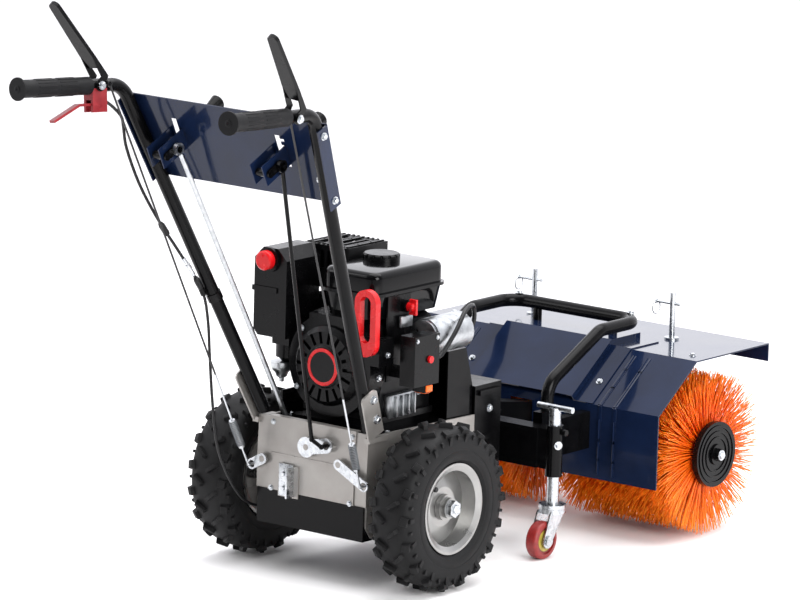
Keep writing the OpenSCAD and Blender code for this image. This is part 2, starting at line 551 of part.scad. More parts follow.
// Wire with an eye on the lever's cam, a sleeve, and a hook on the clutch arm
module clutch_wire() {
    foot = wire_end - wire_dir * sleeve_up;
    difference() {
        union() {
            at_grip() translate([-cam_off, eye_at[0], pivot_at + eye_at[1]])
                rod_x(-eye_t / 2, eye_t / 2, eye_r);
            rod(wire_top + wire_dir * (eye_r - over), wire_end, wire_r);
        }
        at_grip() translate([-cam_off, eye_at[0], pivot_at + eye_at[1]])
            rod_x(-eye_r, eye_r, hook_r + eye_slack);
    }
    rod(foot - wire_dir * sleeve_l, foot, sleeve_r);
    translate(wire_end) sphere(sleeve_r / 2);
    translate([hook_x, 0, hook_z]) rod_y(hook_y, hook_y + hook_l, hook_r);
}
module brush_wire() color("#9aa0a6") clutch_wire();
module drive_wire() color("#9aa0a6") to_left() clutch_wire();
module clutch_arm(p, q) difference() {
    translate([0, arm_y, 0]) rotate([-90, 0, 0]) mirror([0, 1]) linear_extrude(arm_t) stadium(p, q, arm_r);
    translate([p[0], 0, p[1]]) rod_y(arm_y - over, arm_y + arm_t + over, arm_pin + fit);
    translate([q[0], 0, q[1]]) rod_y(arm_y - over, arm_y + arm_t + over, arm_hole);
}
module brush_arm() color("#a6a6a2") clutch_arm(brush_arm_at, [hook_x, arm_tip_z]);
module drive_arm() color("#a6a6a2") clutch_arm(drive_arm_at, [-hook_x, arm_tip_z]);
// Steering lever and its bracket, in the frame of the left-hand grip
module at_steer() to_left() at_grip() translate([0, 0, steer_at]) children();
module steer_bracket() color("#a5161c") at_steer() difference() {
    wide = steer_w / 2 + steer_wall;
    translate([-wide, -steer_low, -steer_l]) cube([wide * 2, steer_low - edge_r,
        steer_l + neck_l - steer_at - gap]);
    translate([0, 0, -steer_l - over]) cylinder(h = steer_l * 2 + over * 2, r = tube_r + fit);
    translate([-steer_w / 2, -steer_low - over, -steer_root]) cube([steer_w,
        steer_low - steer_down + steer_root, steer_l + steer_root + over]);
    translate([0, -steer_down, 0]) rod_x(-wide - over, wide + over, pin_r);
    translate([0, -cable_down, -steer_l - over]) cylinder(h = cable_in + over * 2,
        r = cable_r + cable_slack);
}
module steer_lever() color("#a5161c") at_steer() translate([0, -steer_down, 0]) {
    half = steer_w / 2 - gap;
    rod_x(-half - steer_wall, half + steer_wall, pin_r - fit);
    along_x(-half, half) union() {
        circle(steer_t + over);
        strip([[0, 0], [0, steer_knee], [-steer_drop, steer_len]], -steer_t, 0);
    }
}
cable_from = [for (d = [cable_in, -cable_out]) let (p = on_grip([0, -cable_down,
    steer_at - steer_l + d])) [-p[0], p[1], p[2]]];
cable_to = [for (d = [cable_lead, cable_lead / 4, seat * 2]) [-side_x - d, cable_y, cable_z]];
module steer_cable() color("#1a1a1b") swept(concat(cable_from, cable_pts, cable_to), cable_r, 4, 8);
// Panel levers: pivot pin, bar through the slot to the knob, and an arm beside the bracket for the rod
module panel_lever(x) at_panel() translate([x, -ctl_down, ctl_back]) {
    side = cheek_x + sheet_t;
    rod_x(-side, arm_out, ctl_pin);
    rotate([180, 0, 0]) {
        cylinder(h = ctl_len, r = ctl_bar);
        translate([0, 0, ctl_len - knob_l / 2]) cylinder(h = knob_l, r1 = knob_r - edge_r * 2, r2 = knob_r);
        translate([0, 0, ctl_len + knob_l / 2]) cylinder(h = edge_r, r1 = knob_r, r2 = knob_r - edge_r);
    }
    rod_x(-ctl_bar - edge_r, ctl_bar + edge_r, ctl_pin + edge_r);
    along_x(arm_out - arm_t, arm_out) stadium([0, 0], [0, -arm_len], ctl_pin + edge_r);
    translate([0, 0, -arm_len]) rod_x(arm_out - thin, arm_out + (eye_t + rod_side) * 2, pin_r);
}
module gear_lever() color("#1a1b1d") panel_lever(gear_x);
module angle_lever() color("#1a1b1d") panel_lever(angle_x);
rod_out = arm_out + rod_side + eye_t;
rod_top = on_panel([gear_x + rod_out, -ctl_down, ctl_back - arm_len]);
angle_top = on_panel([angle_x + rod_out, -ctl_down, ctl_back - arm_len]);
gear_low = [gear_bend[0], gear_end_y, gear_bend[1]];
gear_dir = unit(gear_low - rod_top);
angle_dir = unit(angle_foot - angle_top);
module rod_head(p) difference() {
    translate([p[0], p[1], p[2]]) rod_x(gap - eye_t - rod_side, eye_t, rod_eye);
    translate([p[0], p[1], p[2]]) rod_x(-eye_t - rod_side, eye_t + over, pin_r + rod_slack);
}
module gear_rod() color("#19191b") {
    rod_head(rod_top);
    rod(rod_top + gear_dir * (rod_eye - over * 2), gear_low, rod_r - over);
    translate(gear_low) sphere(rod_r);
    rod(gear_low, [gear_pin[0], gear_end_y, gear_pin[1]], rod_r - over);
    translate([gear_pin[0], gear_end_y, gear_pin[1]]) sphere(rod_r);
    translate([gear_pin[0], 0, gear_pin[1]]) rod_y(gear_end_y, arm_y + arm_t * 2, rod_r - over);
}
module angle_rod() color("#c4c7ca") {
    rod_head(angle_top);
    rod(angle_top + angle_dir * (rod_eye - over * 2), angle_foot + angle_dir * angle_drop, rod_r);
}
module gear_crank() color("#b4b6b4") difference() {
    union() {
        translate([0, arm_y, 0]) rotate([-90, 0, 0]) mirror([0,
            1]) linear_extrude(arm_t) stadium(gear_at, gear_pin, crank_w / 4 + edge_r);
        translate([gear_at[0], 0, gear_at[1]]) rod_y(arm_y, arm_y + arm_t, crank_w / 2 - edge_r);
    }
    translate([gear_at[0], 0, gear_at[1]]) rod_y(arm_y - over, arm_y + arm_t + over, arm_pin + fit);
    translate([gear_pin[0], 0, gear_pin[1]]) rod_y(arm_y - over, arm_y + arm_t + over, gear_hole);
}

// Engine
engine_base = deck_z + plinth_h;
module crankcase() color("#26272a") {
    half = case_w / 2;
    top = tank_z - engine_base;
    box(-base_w / 2, base_w / 2, case_y0, case_y1, engine_base, engine_base + base_t);
    along_y(case_y0, case_y1) translate([0, engine_base]) polygon([[-half, 0], [half, 0], [half,
        top - tank_in], [half - tank_in * 2, top],
        [tank_in * 2 - half, top], [-half, top - tank_in]]);
    translate([0, 0, crank_z]) rod_y(case_y1 - thin, case_y1 + shaft_l, shaft_r);
    translate([0, 0, crank_z]) rod_y(case_y1 - thin, case_y1 + seal_t, seal_r);
}
module at_cylinder() translate([0, 0, crank_z]) rotate([0, cyl_deg - 90, 0]) children();
module head_block(d) box(edge_r - cyl_w / 2 - d, cyl_w / 2 - edge_r + d, cyl_y - cyl_w / 2,
    cyl_y + cyl_w / 2, cyl_to - thin, head_to + d);
module cylinder_head() color("#8e9092") difference() {
    half = cyl_w / 2;
    at_cylinder() {
        box(-core_w / 2, core_w / 2, cyl_y - core_w / 2, cyl_y + core_w / 2, cyl_from, cyl_to);
        for (i = [0 : fin_n - 1]) let (z = cyl_to - fin_t - i * (cyl_to - cyl_from) / fin_n)
            box(-half + i * edge_r, half - i * edge_r, cyl_y - half, cyl_y + half, z, z + fin_t);
        head_block(0);
        translate([0, cyl_y, head_to - thin]) linear_extrude(lid_to - head_to)
            polygon(round_box(cyl_w - edge_r * 4, cyl_w - edge_r * 2, wide_r, 4));
    }
    box(-case_w / 2 - seat, case_w, cyl_y - cyl_w, cyl_y + cyl_w, engine_base, tank_z + tank_h);
}
module recoil_cover() color("#19191b") translate([0, 0, crank_z]) {
    difference() {
        union() {
            rod_y(shroud_y, case_y0, shroud_r);
            translate([0, recoil_y, 0]) rotate([-90, 0, 0]) rotate_extrude() polygon([[0, 0],
                [badge_r - edge_r, 0], [badge_r, edge_r],
                [recoil_r - wide_r, edge_r], [recoil_r, wide_r + edge_r], [recoil_r,
                    shroud_y - recoil_y + thin], [0, shroud_y - recoil_y + thin]]);
            box(shroud_r / 2, lobe_x, shroud_y, case_y0, lobe_z, lobe_z + lobe_h);
            box(-shroud_r / 2, tank_in * 4, shroud_y, case_y0, shroud_r / 2, tank_z - crank_z - gap);
            translate([pull_x, 0, pull_z - crank_z + pull_base / 2]) rod_y(pull_y + pull_t + gap,
                shroud_y + thin, guide_r);
        }
        box(-shroud_r, shroud_r, shroud_y - over, case_y0 + over, tank_z - crank_z - seat, shroud_r + over);
        for (i = [0 : slot_n - 1]) rotate([0, i * 360 / slot_n, 0])
            translate([badge_r + edge_r, recoil_y - over,
                -slot_w / 2]) cube([recoil_r - badge_r - wide_r - edge_r, wide_r + over, slot_w]);
    }
}
module fuel_tank() color("#141415") {
    mid = tank_h * tank_mid_share;
    translate([tank_x, tank_y, tank_z]) difference() {
        union() {
            hull() {
                linear_extrude(thin) polygon(round_box(tank_w - tank_in, tank_l - tank_in, corner_r,
                    corner_n));
                translate([0, 0, mid]) linear_extrude(thin) polygon(round_box(tank_w, tank_l, corner_r,
                    corner_n));
            }
            translate([0, 0, mid]) linear_extrude(tank_rim_t) polygon(round_box(tank_w + tank_rim * 2,
                tank_l + tank_rim * 2, corner_r + tank_rim, corner_n));
            hull() {
                translate([0, 0, mid + tank_rim_t]) linear_extrude(tank_h - mid - tank_rim_t - tank_crown * 2)
                    polygon(round_box(tank_w, tank_l, corner_r, corner_n));
                translate([0, 0, tank_h - thin]) linear_extrude(thin)
                    polygon(round_box(tank_w - tank_in * 2, tank_l - tank_in * 2, corner_r, corner_n));
            }
            translate([cap_at[0], cap_at[1], tank_h - thin]) cylinder(h = neck_h + thin, r = neck_r);
        }
        translate([cap_at[0], cap_at[1], tank_h - neck_h]) cylinder(h = neck_h * 2 + over,
            r = neck_r - edge_r);
    }
}
module fuel_cap() color("#101011") translate([tank_x + cap_at[0], tank_y + cap_at[1],
    tank_z + tank_h + gap]) difference() {
    union() {
        cylinder(h = cap_h - edge_r, r = cap_r);
        translate([0, 0, cap_h - edge_r]) cylinder(h = edge_r, r1 = cap_r, r2 = cap_r - edge_r);
    }
    translate([0, 0, -over]) cylinder(h = neck_h + over, r = neck_r + fit);
    for (i = [0 : cap_n - 1]) rotate([0, 0, i * 360 / cap_n]) translate([cap_r, 0,
        neck_h]) cylinder(h = cap_h, r = cap_cut);
}
module air_box() color("#151516") {
    x0 = air_x - air_w / 2; x1 = air_x + air_w / 2; y1 = air_y0 + air_d;
    difference() {
        union() {
            along_y(air_y0, y1) polygon([[x0 + air_cham / 2, air_z], [x1, air_z], [x1,
                air_z + air_h - air_cham], [x1 - air_cham, air_z + air_h],
                [x0 + air_cham, air_z + air_h], [x0, air_z + air_h - air_cham], [x0,
                    air_z + air_cham / 2]]);
            along_y(air_y0 - edge_r, y1 - air_cham) polygon([[x0 - edge_r, air_z + air_h / 2],
                [x1 - air_cham, air_z + air_h / 2],
                [x1 - air_cham, air_z + air_h / 2 + wide_r], [x0 - edge_r, air_z + air_h / 2 + wide_r]]);
            translate([air_x - edge_r, 0, air_z + choke_z]) rod_y(air_y0 - choke_seat_l, air_y0 + thin,
                choke_seat_r);
            translate([air_x + port_x, 0, air_z + port_z]) rod_y(y1 - thin, cyl_y - cyl_w / 2 - seat,
                port_r);
        }
        translate([air_x - edge_r, 0, air_z + choke_z]) rod_y(air_y0 - choke_seat_l - over,
            air_y0 + choke_l, choke_pin + fit);
    }
    carb_x = air_x + edge_r;
    color("#8b8d8f") {
        box(carb_x - carb_w / 2, carb_x + carb_w / 2, carb_y - bowl_r, cyl_y - cyl_w / 2, air_z - carb_h,
            air_z);
        translate([carb_x, carb_y, air_z - carb_h - bowl_h]) cylinder(h = bowl_h + thin, r = bowl_r);
        translate([carb_x, carb_y, air_z - carb_h - bowl_h - bowl_cone]) cylinder(h = bowl_cone + thin,
            r1 = bowl_nut, r2 = bowl_r - edge_r);
    }
}
module choke_knob() color("#d8232a") translate([air_x - edge_r, air_y0 - choke_seat_l - gap,
    air_z + choke_z]) {
    rod_y(-choke_l + edge_r, 0, choke_r);
    rotate([90, 0, 0]) translate([0, 0, choke_l - edge_r]) cylinder(h = edge_r, r1 = choke_r,
        r2 = choke_r - edge_r);
    rod_y(-thin, choke_l + choke_seat_l - over, choke_pin);
    translate([0, 0, choke_r / 2]) rod_y(-choke_l - choke_in, 0, choke_in);
}
module muffler() {
    x0 = muf_x - muf_w / 2; x1 = muf_x + muf_w / 2; y0 = muf_y - muf_d / 2; y1 = muf_y + muf_d / 2;
    g = guard_gap + guard_t;
    color("#55565a") {
        box(x0, x1, y0, y1, muf_z, muf_z + muf_h);
        difference() {
            translate([muf_x, muf_y, muf_z - cyl_w / 2]) cylinder(h = cyl_w / 2 + thin, r = pipe_r);
            at_cylinder() {
                head_block(seat);
                box(-cyl_w / 2 - seat, cyl_w / 2 + seat, cyl_y - cyl_w / 2, cyl_y + cyl_w / 2, cyl_from,
                    cyl_to + seat);
                box(edge_r * 2 - cyl_w / 2 - seat, cyl_w / 2 - edge_r * 2 + seat, cyl_y - cyl_w / 2,
                    cyl_y + cyl_w / 2, head_to - over, lid_to + seat);
            }
        }
    }
    color("#101011") difference() {
        box(x0 - g, x1 + g, y0 - g, y1 + g, muf_z - edge_r, muf_z + muf_h + g);
        box(x0 - guard_gap, x1 + guard_gap, y0 - guard_gap, y1 + guard_gap, muf_z - edge_r - over,
            muf_z + muf_h + guard_gap);
        for (i = [0 : bar_n - 1]) let (w = (muf_w + g) / bar_n, x = x0 - guard_gap / 2 + w * i)
            box(x, x + w * 2 / 3, y0 + wide_r, y1 - wide_r, muf_z + muf_h, muf_z + muf_h + g + over);
        for (i = [0 : bar_n - 1]) let (w = (muf_w + g) / bar_n, x = x0 - guard_gap / 2 + w * i)
            box(x, x + w * 2 / 3, y0 - g - over, y1 + g + over, muf_z + muf_h / 2, muf_z + muf_h);
    }
    color("#101011") pair_at(muf_x) box(muf_w / 2 - thin, muf_w / 2 + guard_gap + thin, muf_y - wide_r,
        muf_y + wide_r, muf_z, muf_z + edge_r);
}
module pair_at(x) translate([x, 0, 0]) pair() children();
module starter_grip() color("#d8232a") along_y(pull_y, pull_y + pull_t) difference() {
    stadium([pull_x, pull_z + pull_w / 2], [pull_x, pull_z + pull_h - pull_w / 2], pull_w / 2);
    stadium([pull_x, pull_z + pull_base + pull_w / 2 - pull_wall], [pull_x,
        pull_z + pull_h - pull_w / 2], pull_w / 2 - pull_wall);
}
plate_x = max(case_w / 2, tank_x + tank_w / 2) + gap;
module starter_box() color("#161617") {
    px = plate_x;
    difference() {
        union() {
            translate([sbox_x, sbox_y, sbox_z]) cube(sbox);
            box(px, px + plate_t, plate_y0, plate_y1, sbox_z, sbox_z + plate_h);
            box(px + plate_t - thin, sbox_x + thin, plate_y0 + wide_r, plate_y0 + wide_r * 3,
                sbox_z + wide_r, sbox_z + wide_r * 3);
            box(case_w / 2, px + thin, plate_y0 + wide_r, plate_y0 + wide_r * 3, sbox_z + wide_r,
                sbox_z + wide_r * 3);
            translate([px, key_at[0], sbox_z + key_at[1]]) rod_x(plate_t - thin, plate_t + key_seat, key_r);
        }
        translate([sbox_x, sbox_y + btn_at[0], sbox_z + btn_at[1]]) rod_x(sbox[0] - btn_h - btn_in,
            sbox[0] + over, btn_r + fit);
        translate([px, key_at[0], sbox_z + key_at[1]]) rod_x(plate_t + key_seat - key_in,
            plate_t + key_seat + over, key_pin + fit);
    }
    translate([sbox_x + edge_r, sbox_y + sbox[1] / 2, sbox_z - inlet[2]]) cube([inlet[0], inlet[1],
        inlet[2]]);
}
module start_button() color("#d8232a") translate([sbox_x + sbox[0], sbox_y + btn_at[0], sbox_z + btn_at[1]])
    rod_x(-btn_h, btn_h, btn_r);
module ignition_key() color("#d8232a") translate([plate_x + plate_t + key_seat + gap, key_at[0],
    sbox_z + key_at[1]]) {
    rod_x(0, key_l - edge_r, key_r - edge_r);
    translate([key_l - edge_r, 0, 0]) rotate([0, 90, 0]) cylinder(h = edge_r, r1 = key_r - edge_r,
        r2 = key_r - edge_r * 2);
    box(edge_r, key_l + edge_r, -edge_r, edge_r, -key_r - edge_r, key_r + edge_r);
    rod_x(-key_in, thin, key_pin);
}
module starter_motor() color("#b4b6b8") translate([motor_x, 0, motor_z]) {
    rod_y(motor_y0, motor_y1, motor_r);
    rod_y(motor_y1 - thin, motor_y1 + motor_cap, motor_r - wide_r);
    rod_y(motor_y0 - motor_cap, motor_y0 + thin, motor_r - edge_r);
    box(case_w / 2 - motor_x, 0, motor_y0 + wide_r, motor_y0 + motor_foot, -motor_r + edge_r, 0);
}
lead_from = [for (d = [seat * 2, lead_out / 4, lead_out]) [motor_x + lead_x, motor_y1 + motor_cap + d,
    motor_z]];
lead_to = [for (d = [lead_out, lead_out / 4, seat * 2]) [sbox_x + lead_at[0], sbox_y + sbox[1] + d,
    sbox_z + lead_at[1]]];
module starter_lead() color("#1a1a1b") swept(concat(lead_from, lead_pts, lead_to), lead_r, 4, 8);

// Brush deck
hood_path = [[hood_back, hood_z], [hood_back, hood_top - hood_rise], [hood_back + hood_run, hood_top],
    [hood_front_y - hood_t, hood_top],
    [hood_front_y - hood_t, hood_top - hood_lip]];
module hood() color("#1d2748") difference() {
    along_x(-hood_w / 2, hood_w / 2) strip(hood_path, -hood_t, 0);
    box(-case_t / 2 - case_slot, case_t / 2 + case_slot, hood_back - over, hood_back + hood_t + over,
        hood_z - over,
        case_z + case_r - case_clear);
}
cov_path = [[hood_back, hood_top - hood_rise], [hood_back + hood_run, hood_top],
    [post_y - cov_front + post_base_r * 2, hood_top]];
module centre_cover() color("#1d2748") {
    half = cov_w / 2;
    along_x(-half, half) strip(cov_path, cov_up, cov_up + cov_t);
    pair() along_x(half - cov_t, half) strip(cov_path, 0, cov_up + cov_t);
    pair() along_x(half - thin, half + cov_flange) strip(cov_path, 0, cov_t);
}
module deck_frame() color("#151517") {
    difference() {
        union() {
            box(-beam_x, beam_x, beam_y0, beam_y1, beam_z0, beam_z1);
            pair() box(beam_x - thin, castor_track / 2, castor_y - sleeve_or + edge_r,
                castor_y + sleeve_or - edge_r, beam_z0, beam_z1);
            pair() translate([castor_track / 2, castor_y, sleeve_z0]) cylinder(h = sleeve_z1 - sleeve_z0,
                r = sleeve_or);
            pair() translate([castor_track / 2, castor_y, sleeve_z1 - lock_z]) rod_x(sleeve_or - edge_r,
                sleeve_or + lock_l, lock_r);
            translate([0, pivot_y, lug_lo + lug_t + gap]) cylinder(h = lug_hi - lug_lo - lug_t - gap * 2,
                r = tongue_r);
            box(-tongue_r, tongue_r, pivot_y, beam_y0 + thin, lug_lo + lug_t + gap, lug_hi - gap);
            pair() box(arm_x - arm_w / 2, arm_x + arm_w / 2, beam_y1 - thin, hood_back, arm_lo, beam_z1);
            pair() box(arm_x - arm_w / 2, arm_x + arm_w / 2, beam_y1 - thin, bar_y + bar_r + wide_r,
                beam_z1 - thin, arm_hi);
        }
        translate([0, pivot_y, lug_lo]) cylinder(h = lug_hi - lug_lo, r = pivot_r + fit);
        pair() translate([castor_track / 2, castor_y,
            sleeve_z0 - over]) cylinder(h = sleeve_z1 - sleeve_z0 + over * 2, r = stem_r + fit);
    }
}
module chain_case() color("#1a1a1c") difference() {
    union() {
        along_x(-case_t / 2, case_t / 2) stadium([case_y, case_z], [brush_y, brush_z], case_r);
        box(-case_t / 2 - wide_r, case_t / 2 + wide_r, beam_y1, case_y, beam_z0 + edge_r, beam_z1 - edge_r);
        translate([0, brush_y, brush_z]) rod_x(-core_in + edge_r * 2, core_in - edge_r * 2, case_r / 2);
    }
    translate([0, brush_y, brush_z]) rod_x(-core_in, core_in, shaft_rr + fit);
}
bar_top = arm_hi + bar_rise;
module guard_bar() color("#141415") {
    bent_tube([[arm_x, bar_y, arm_hi], [arm_x, bar_y, arm_hi + bar_up + bar_r], [arm_x, bar_mid_y,
        bar_top], [arm_x, bar_front_y, bar_top],
        [-arm_x, bar_front_y, bar_top], [-arm_x, bar_mid_y, bar_top], [-arm_x, bar_y,
            arm_hi + bar_up + bar_r], [-arm_x, bar_y, arm_hi]], bar_r, bar_bend);
    pair() translate([foot_x - bar_bend, bar_front_y,
        hood_top + cov_up + cov_t]) cylinder(h = bar_top - hood_top - cov_up - cov_t, r = foot_r2);
}
module hood_posts() color("#b7babd") pair() translate([post_x, post_y, hood_top]) difference() {
    union() {
        cylinder(h = post_h, r = post_r);
        cylinder(h = post_base_t, r = post_base_r);
    }
    translate([0, 0, post_h - cross_down]) rod_x(-post_r - over, post_r + over, cross_r + fit);
}
module lynch_pin(s) color("#b7babd") translate([s * post_x, post_y, hood_top + post_h - cross_down]) {
    rod_x(-lynch_in, lynch_out, cross_r);
    rod_x(-lynch_in - lynch_head_l, -lynch_in, lynch_head);
    translate([-lynch_in - lynch_head_l / 2, 0, -ring_r]) rotate([0, 90,
        0]) rotate_extrude() translate([ring_r, 0]) circle(ring_w);
}

// Castors
module at_castor(s) translate([s * castor_track / 2, castor_y, 0]) children();
fork_top = race_z - gap;
module castor_stem() color("#b9bcc0") {
    translate([0, 0, race_z + race_t - thin]) cylinder(h = tee_z - race_z - race_t + thin, r = stem_r);
    translate([0, 0, race_z]) cylinder(h = race_t, r = race_r);
    translate([0, 0, fork_top - fork_plate - gap - king_t])
        cylinder(h = fork_plate + king_t + gap * 2 + thin, r = king_r);
    translate([0, 0, fork_top - fork_plate - gap - king_t]) cylinder(h = king_t, r = king_head);
    translate([0, 0, tee_z]) rod_x(-tee_l / 2, tee_l / 2, tee_r);
    translate([0, 0, tee_z - tee_r]) cylinder(h = tee_r, r = stem_r);
}
module castor_fork() color("#b9bcc0") {
    inn = castor_w / 2 + fork_gap;
    difference() {
        translate([0, 0, fork_top - fork_plate]) cylinder(h = fork_plate, r = race_r);
        translate([0, 0, fork_top - fork_plate - over]) cylinder(h = fork_plate + over * 2,
            r = king_r + fit);
    }
    pair() along_x(inn, inn + fork_t) union() {
        polygon([[race_r - king_t * 2, fork_top - edge_r], [-race_r, fork_top - edge_r],
            [-castor_trail - leg_w / 2, castor_r],
            [-castor_trail + leg_w / 2, castor_r]]);
        translate([-castor_trail, castor_r]) circle(leg_w / 2);
    }
    pair() translate([0, -castor_trail, castor_r]) rod_x(inn + fork_t - thin, inn + fork_t + king_t,
        bolt_r * 2);
    translate([0, -castor_trail, castor_r]) rod_x(-inn - thin, inn + thin, bolt_r);
}
module castor_wheel() color("#7a1d1a") {
    half = castor_w / 2;
    translate([0, -castor_trail, castor_r]) turn_x() polygon(concat([[bolt_r + fit, -half + cw_dip],
        [cw_hub_r, -half + cw_dip], [cw_hub_r, -half]],
        arc([castor_r - tread_r, tread_r - half], tread_r, -90, 0, 4), arc([castor_r - tread_r,
            half - tread_r], tread_r, 0, 90, 4),
        [[cw_hub_r, half], [cw_hub_r, half - cw_dip], [bolt_r + fit, half - cw_dip]]));
}

// Brush
module brush_shaft() color("#2a2b2d") translate([0, brush_y, brush_z]) {
    rod_x(-brush_w / 2, brush_w / 2, shaft_rr);
    pair() rod_x(core_in, half_w - disc_gap, core_r);
}
// One half of the brush: every cell of the drum carries one strand
function noise(i, k) = let (v = sin(i * 127.1 + k * 311.7) * 43758.5) v - floor(v) - 0.5;
module bristles() {
    na = strand_n; nx = row_n; x0 = core_in + disc_gap; x1 = half_w - disc_gap * 2; dx = (x1 - x0) / nx;
    da = 360 / na;
    bore = (core_r + seat) / cos(da / 2);
    flat = drum_r * cos(da / 2);
    outer = [for (j = [0 : nx]) for (i = [0 : na - 1]) [x0 + j * dx, drum_r * cos(i * da),
        drum_r * sin(i * da)]];
    inner = [for (x = [x0, x1]) for (i = [0 : na - 1]) [x, bore * cos(i * da), bore * sin(i * da)]];
    no = len(outer); ns = no + len(inner);
    strands = [for (j = [0 : nx - 1]) for (i = [0 : na - 1])
        let (k = j * na + i, a = (i + 0.5) * da, n = [0, cos(a), sin(a)], v = [0, -sin(a), cos(a)],
            u = [1, 0, 0],
             cx = x0 + (j + 0.5) * dx + (i % 2 == 0 ? dx / 5 : -dx / 5), c = [cx, 0, 0] + n * flat,
             reach = brush_r - flat - tip_w * abs(noise(k, 1)) * 2,
             t = [cx, 0, 0] + n * (flat + reach) + v * sway * noise(k, 2) * 2 + u * (sway / 2) * noise(k,
                 3),
             far = norm([t[1], t[2]]) + tip_w, tip = far > brush_r ? [t[0], t[1] * brush_r / far,
                 t[2] * brush_r / far] : t,
             h = root_w / 2, w = tip_w / 2)
        each [c - u * h - v * h, c - u * h + v * h, c + u * h + v * h, c + u * h - v * h,
            tip - u * w - v * w, tip - u * w + v * w, tip + u * w + v * w, tip + u * w - v * w]];
    quads = concat(
        [for (j = [0 : nx - 1]) for (i = [0 : na - 1])
            let (m = (i + 1) % na, a = j * na + i, b = j * na + m, c = (j + 1) * na + m,
                d = (j + 1) * na + i, s = ns + 8 * a)
            each [[a, b, s + 1, s], [b, c, s + 2, s + 1], [c, d, s + 3, s + 2], [d, a, s, s + 3],
                [s, s + 1, s + 5, s + 4], [s + 1, s + 2, s + 6, s + 5], [s + 2, s + 3, s + 7, s + 6],
                    [s + 3, s, s + 4, s + 7],
                [s + 4, s + 5, s + 6, s + 7]]],
        [for (i = [0 : na - 1]) let (m = (i + 1) % na, e = nx * na) each [
            [no + i, no + na + i, no + na + m, no + m],
            [no + i, no + m, m, i],
            [no + na + i, e + i, e + m, no + na + m]]]);
    translate([0, brush_y, brush_z]) polyhedron(concat(outer, inner, strands),
        [for (q = quads) each [[q[2], q[1], q[0]], [q[3], q[2], q[0]]]]);
}
module end_disc() difference() {
    union() {
        rod_x(half_w, half_w + disc_t, disc_r);
        for (i = [1 : rib_n]) let (r = disc_r - i * (disc_r - disc_cap_r) / (rib_n + 1) + rib_w)
            translate([half_w + disc_t - thin, 0, 0]) turn_x() translate([r - rib_w, 0]) square([rib_w,
                rib_h + thin]);
        rod_x(half_w + disc_t - thin, half_w + disc_t + disc_cap_t, disc_cap_r);
        translate([half_w + disc_t + disc_cap_t - thin, 0, 0]) rotate([0, 90,
            0]) cylinder(h = disc_nut_h, r = disc_nut_r, $fn = 6);
    }
    rod_x(half_w - over, half_w + disc_t + gap, shaft_rr + fit);
}
module end_discs() color("#1b1b1d") translate([0, brush_y, brush_z]) pair() end_disc();

place() side_plates();
place() engine_deck();
place() rear_cover();
place() bottom_pan();
place() front_frame();
place() belt_cover();
place() handle_tubes();
place() grips();
place() control_panel();
place() steer_bracket();
place() crankcase();
place() cylinder_head();
place() recoil_cover();
place() fuel_tank();
place() fuel_cap();
place() air_box();
place() choke_knob();
place() muffler();
place() starter_grip();
place() ignition_key();
place() starter_box();
place() start_button();
place() starter_motor();
place() starter_lead();
place() drive_lever();
place() brush_lever();
place() drive_wire();
place() brush_wire();
place() drive_arm();
place() brush_arm();
place() steer_lever();
place() steer_cable();
place() gear_lever();
place() gear_rod();
place() gear_crank();
place() angle_lever();
place() angle_rod();
place() hood();
place() centre_cover();
place() deck_frame();
place() chain_case();
place() guard_bar();
place() hood_posts();
place() lynch_pin(-1);  // lynch_pin_left
place() lynch_pin(1);  // lynch_pin_right
place() at_castor(-1) castor_stem();  // castor_stem_left
place() at_castor(1) castor_stem();  // castor_stem_right
place() at_castor(-1) castor_fork();  // castor_fork_left
place() at_castor(1) castor_fork();  // castor_fork_right
place() at_castor(-1) castor_wheel();  // castor_wheel_left
place() at_castor(1) castor_wheel();  // castor_wheel_right
place() brush_shaft();
place() color("#f46d12") to_left() bristles();  // bristles_left
place() color("#f46d12") bristles();  // bristles_right
place() end_discs();
place() to_left() tyre();  // tyre_left
place() tyre();  // tyre_right
place() to_left() rim();  // rim_left
place() rim();  // rim_right
place() axle();
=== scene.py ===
import math
import random

import bmesh
import bpy
from mathutils import Matrix, Vector
from mathutils.bvhtree import BVHTree


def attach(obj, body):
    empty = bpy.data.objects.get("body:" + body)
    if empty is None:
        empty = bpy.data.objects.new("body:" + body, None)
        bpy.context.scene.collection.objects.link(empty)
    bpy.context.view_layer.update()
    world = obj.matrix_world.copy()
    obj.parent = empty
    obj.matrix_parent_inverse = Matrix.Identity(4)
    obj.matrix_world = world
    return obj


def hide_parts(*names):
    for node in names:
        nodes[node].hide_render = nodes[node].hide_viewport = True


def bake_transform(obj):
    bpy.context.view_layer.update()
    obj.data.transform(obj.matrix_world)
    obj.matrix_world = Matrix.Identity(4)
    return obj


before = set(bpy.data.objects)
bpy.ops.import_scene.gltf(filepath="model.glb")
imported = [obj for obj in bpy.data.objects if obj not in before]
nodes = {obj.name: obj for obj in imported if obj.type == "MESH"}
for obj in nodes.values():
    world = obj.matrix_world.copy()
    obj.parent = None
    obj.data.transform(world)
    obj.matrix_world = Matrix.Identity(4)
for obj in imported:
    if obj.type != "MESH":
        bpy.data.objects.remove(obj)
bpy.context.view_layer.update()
scene = bpy.context.scene
mm = 0.001
axisX, axisY, axisZ = Vector((1, 0, 0)), Vector((0, 1, 0)), Vector((0, 0, 1))
print("frame loaded:", len(nodes), "nodes")


def at(x, y, z):
    return Vector((x, y, z)) * mm


# Six hex digits of an sRGB tone as a linear colour
def linearColour(hexText):
    values = []
    for i in (1, 3, 5):
        c = int(hexText[i:i + 2], 16) / 255
        values.append(c / 12.92 if c <= 0.04045 else ((c + 0.055) / 1.055) ** 2.4)
    return (*values, 1.0)


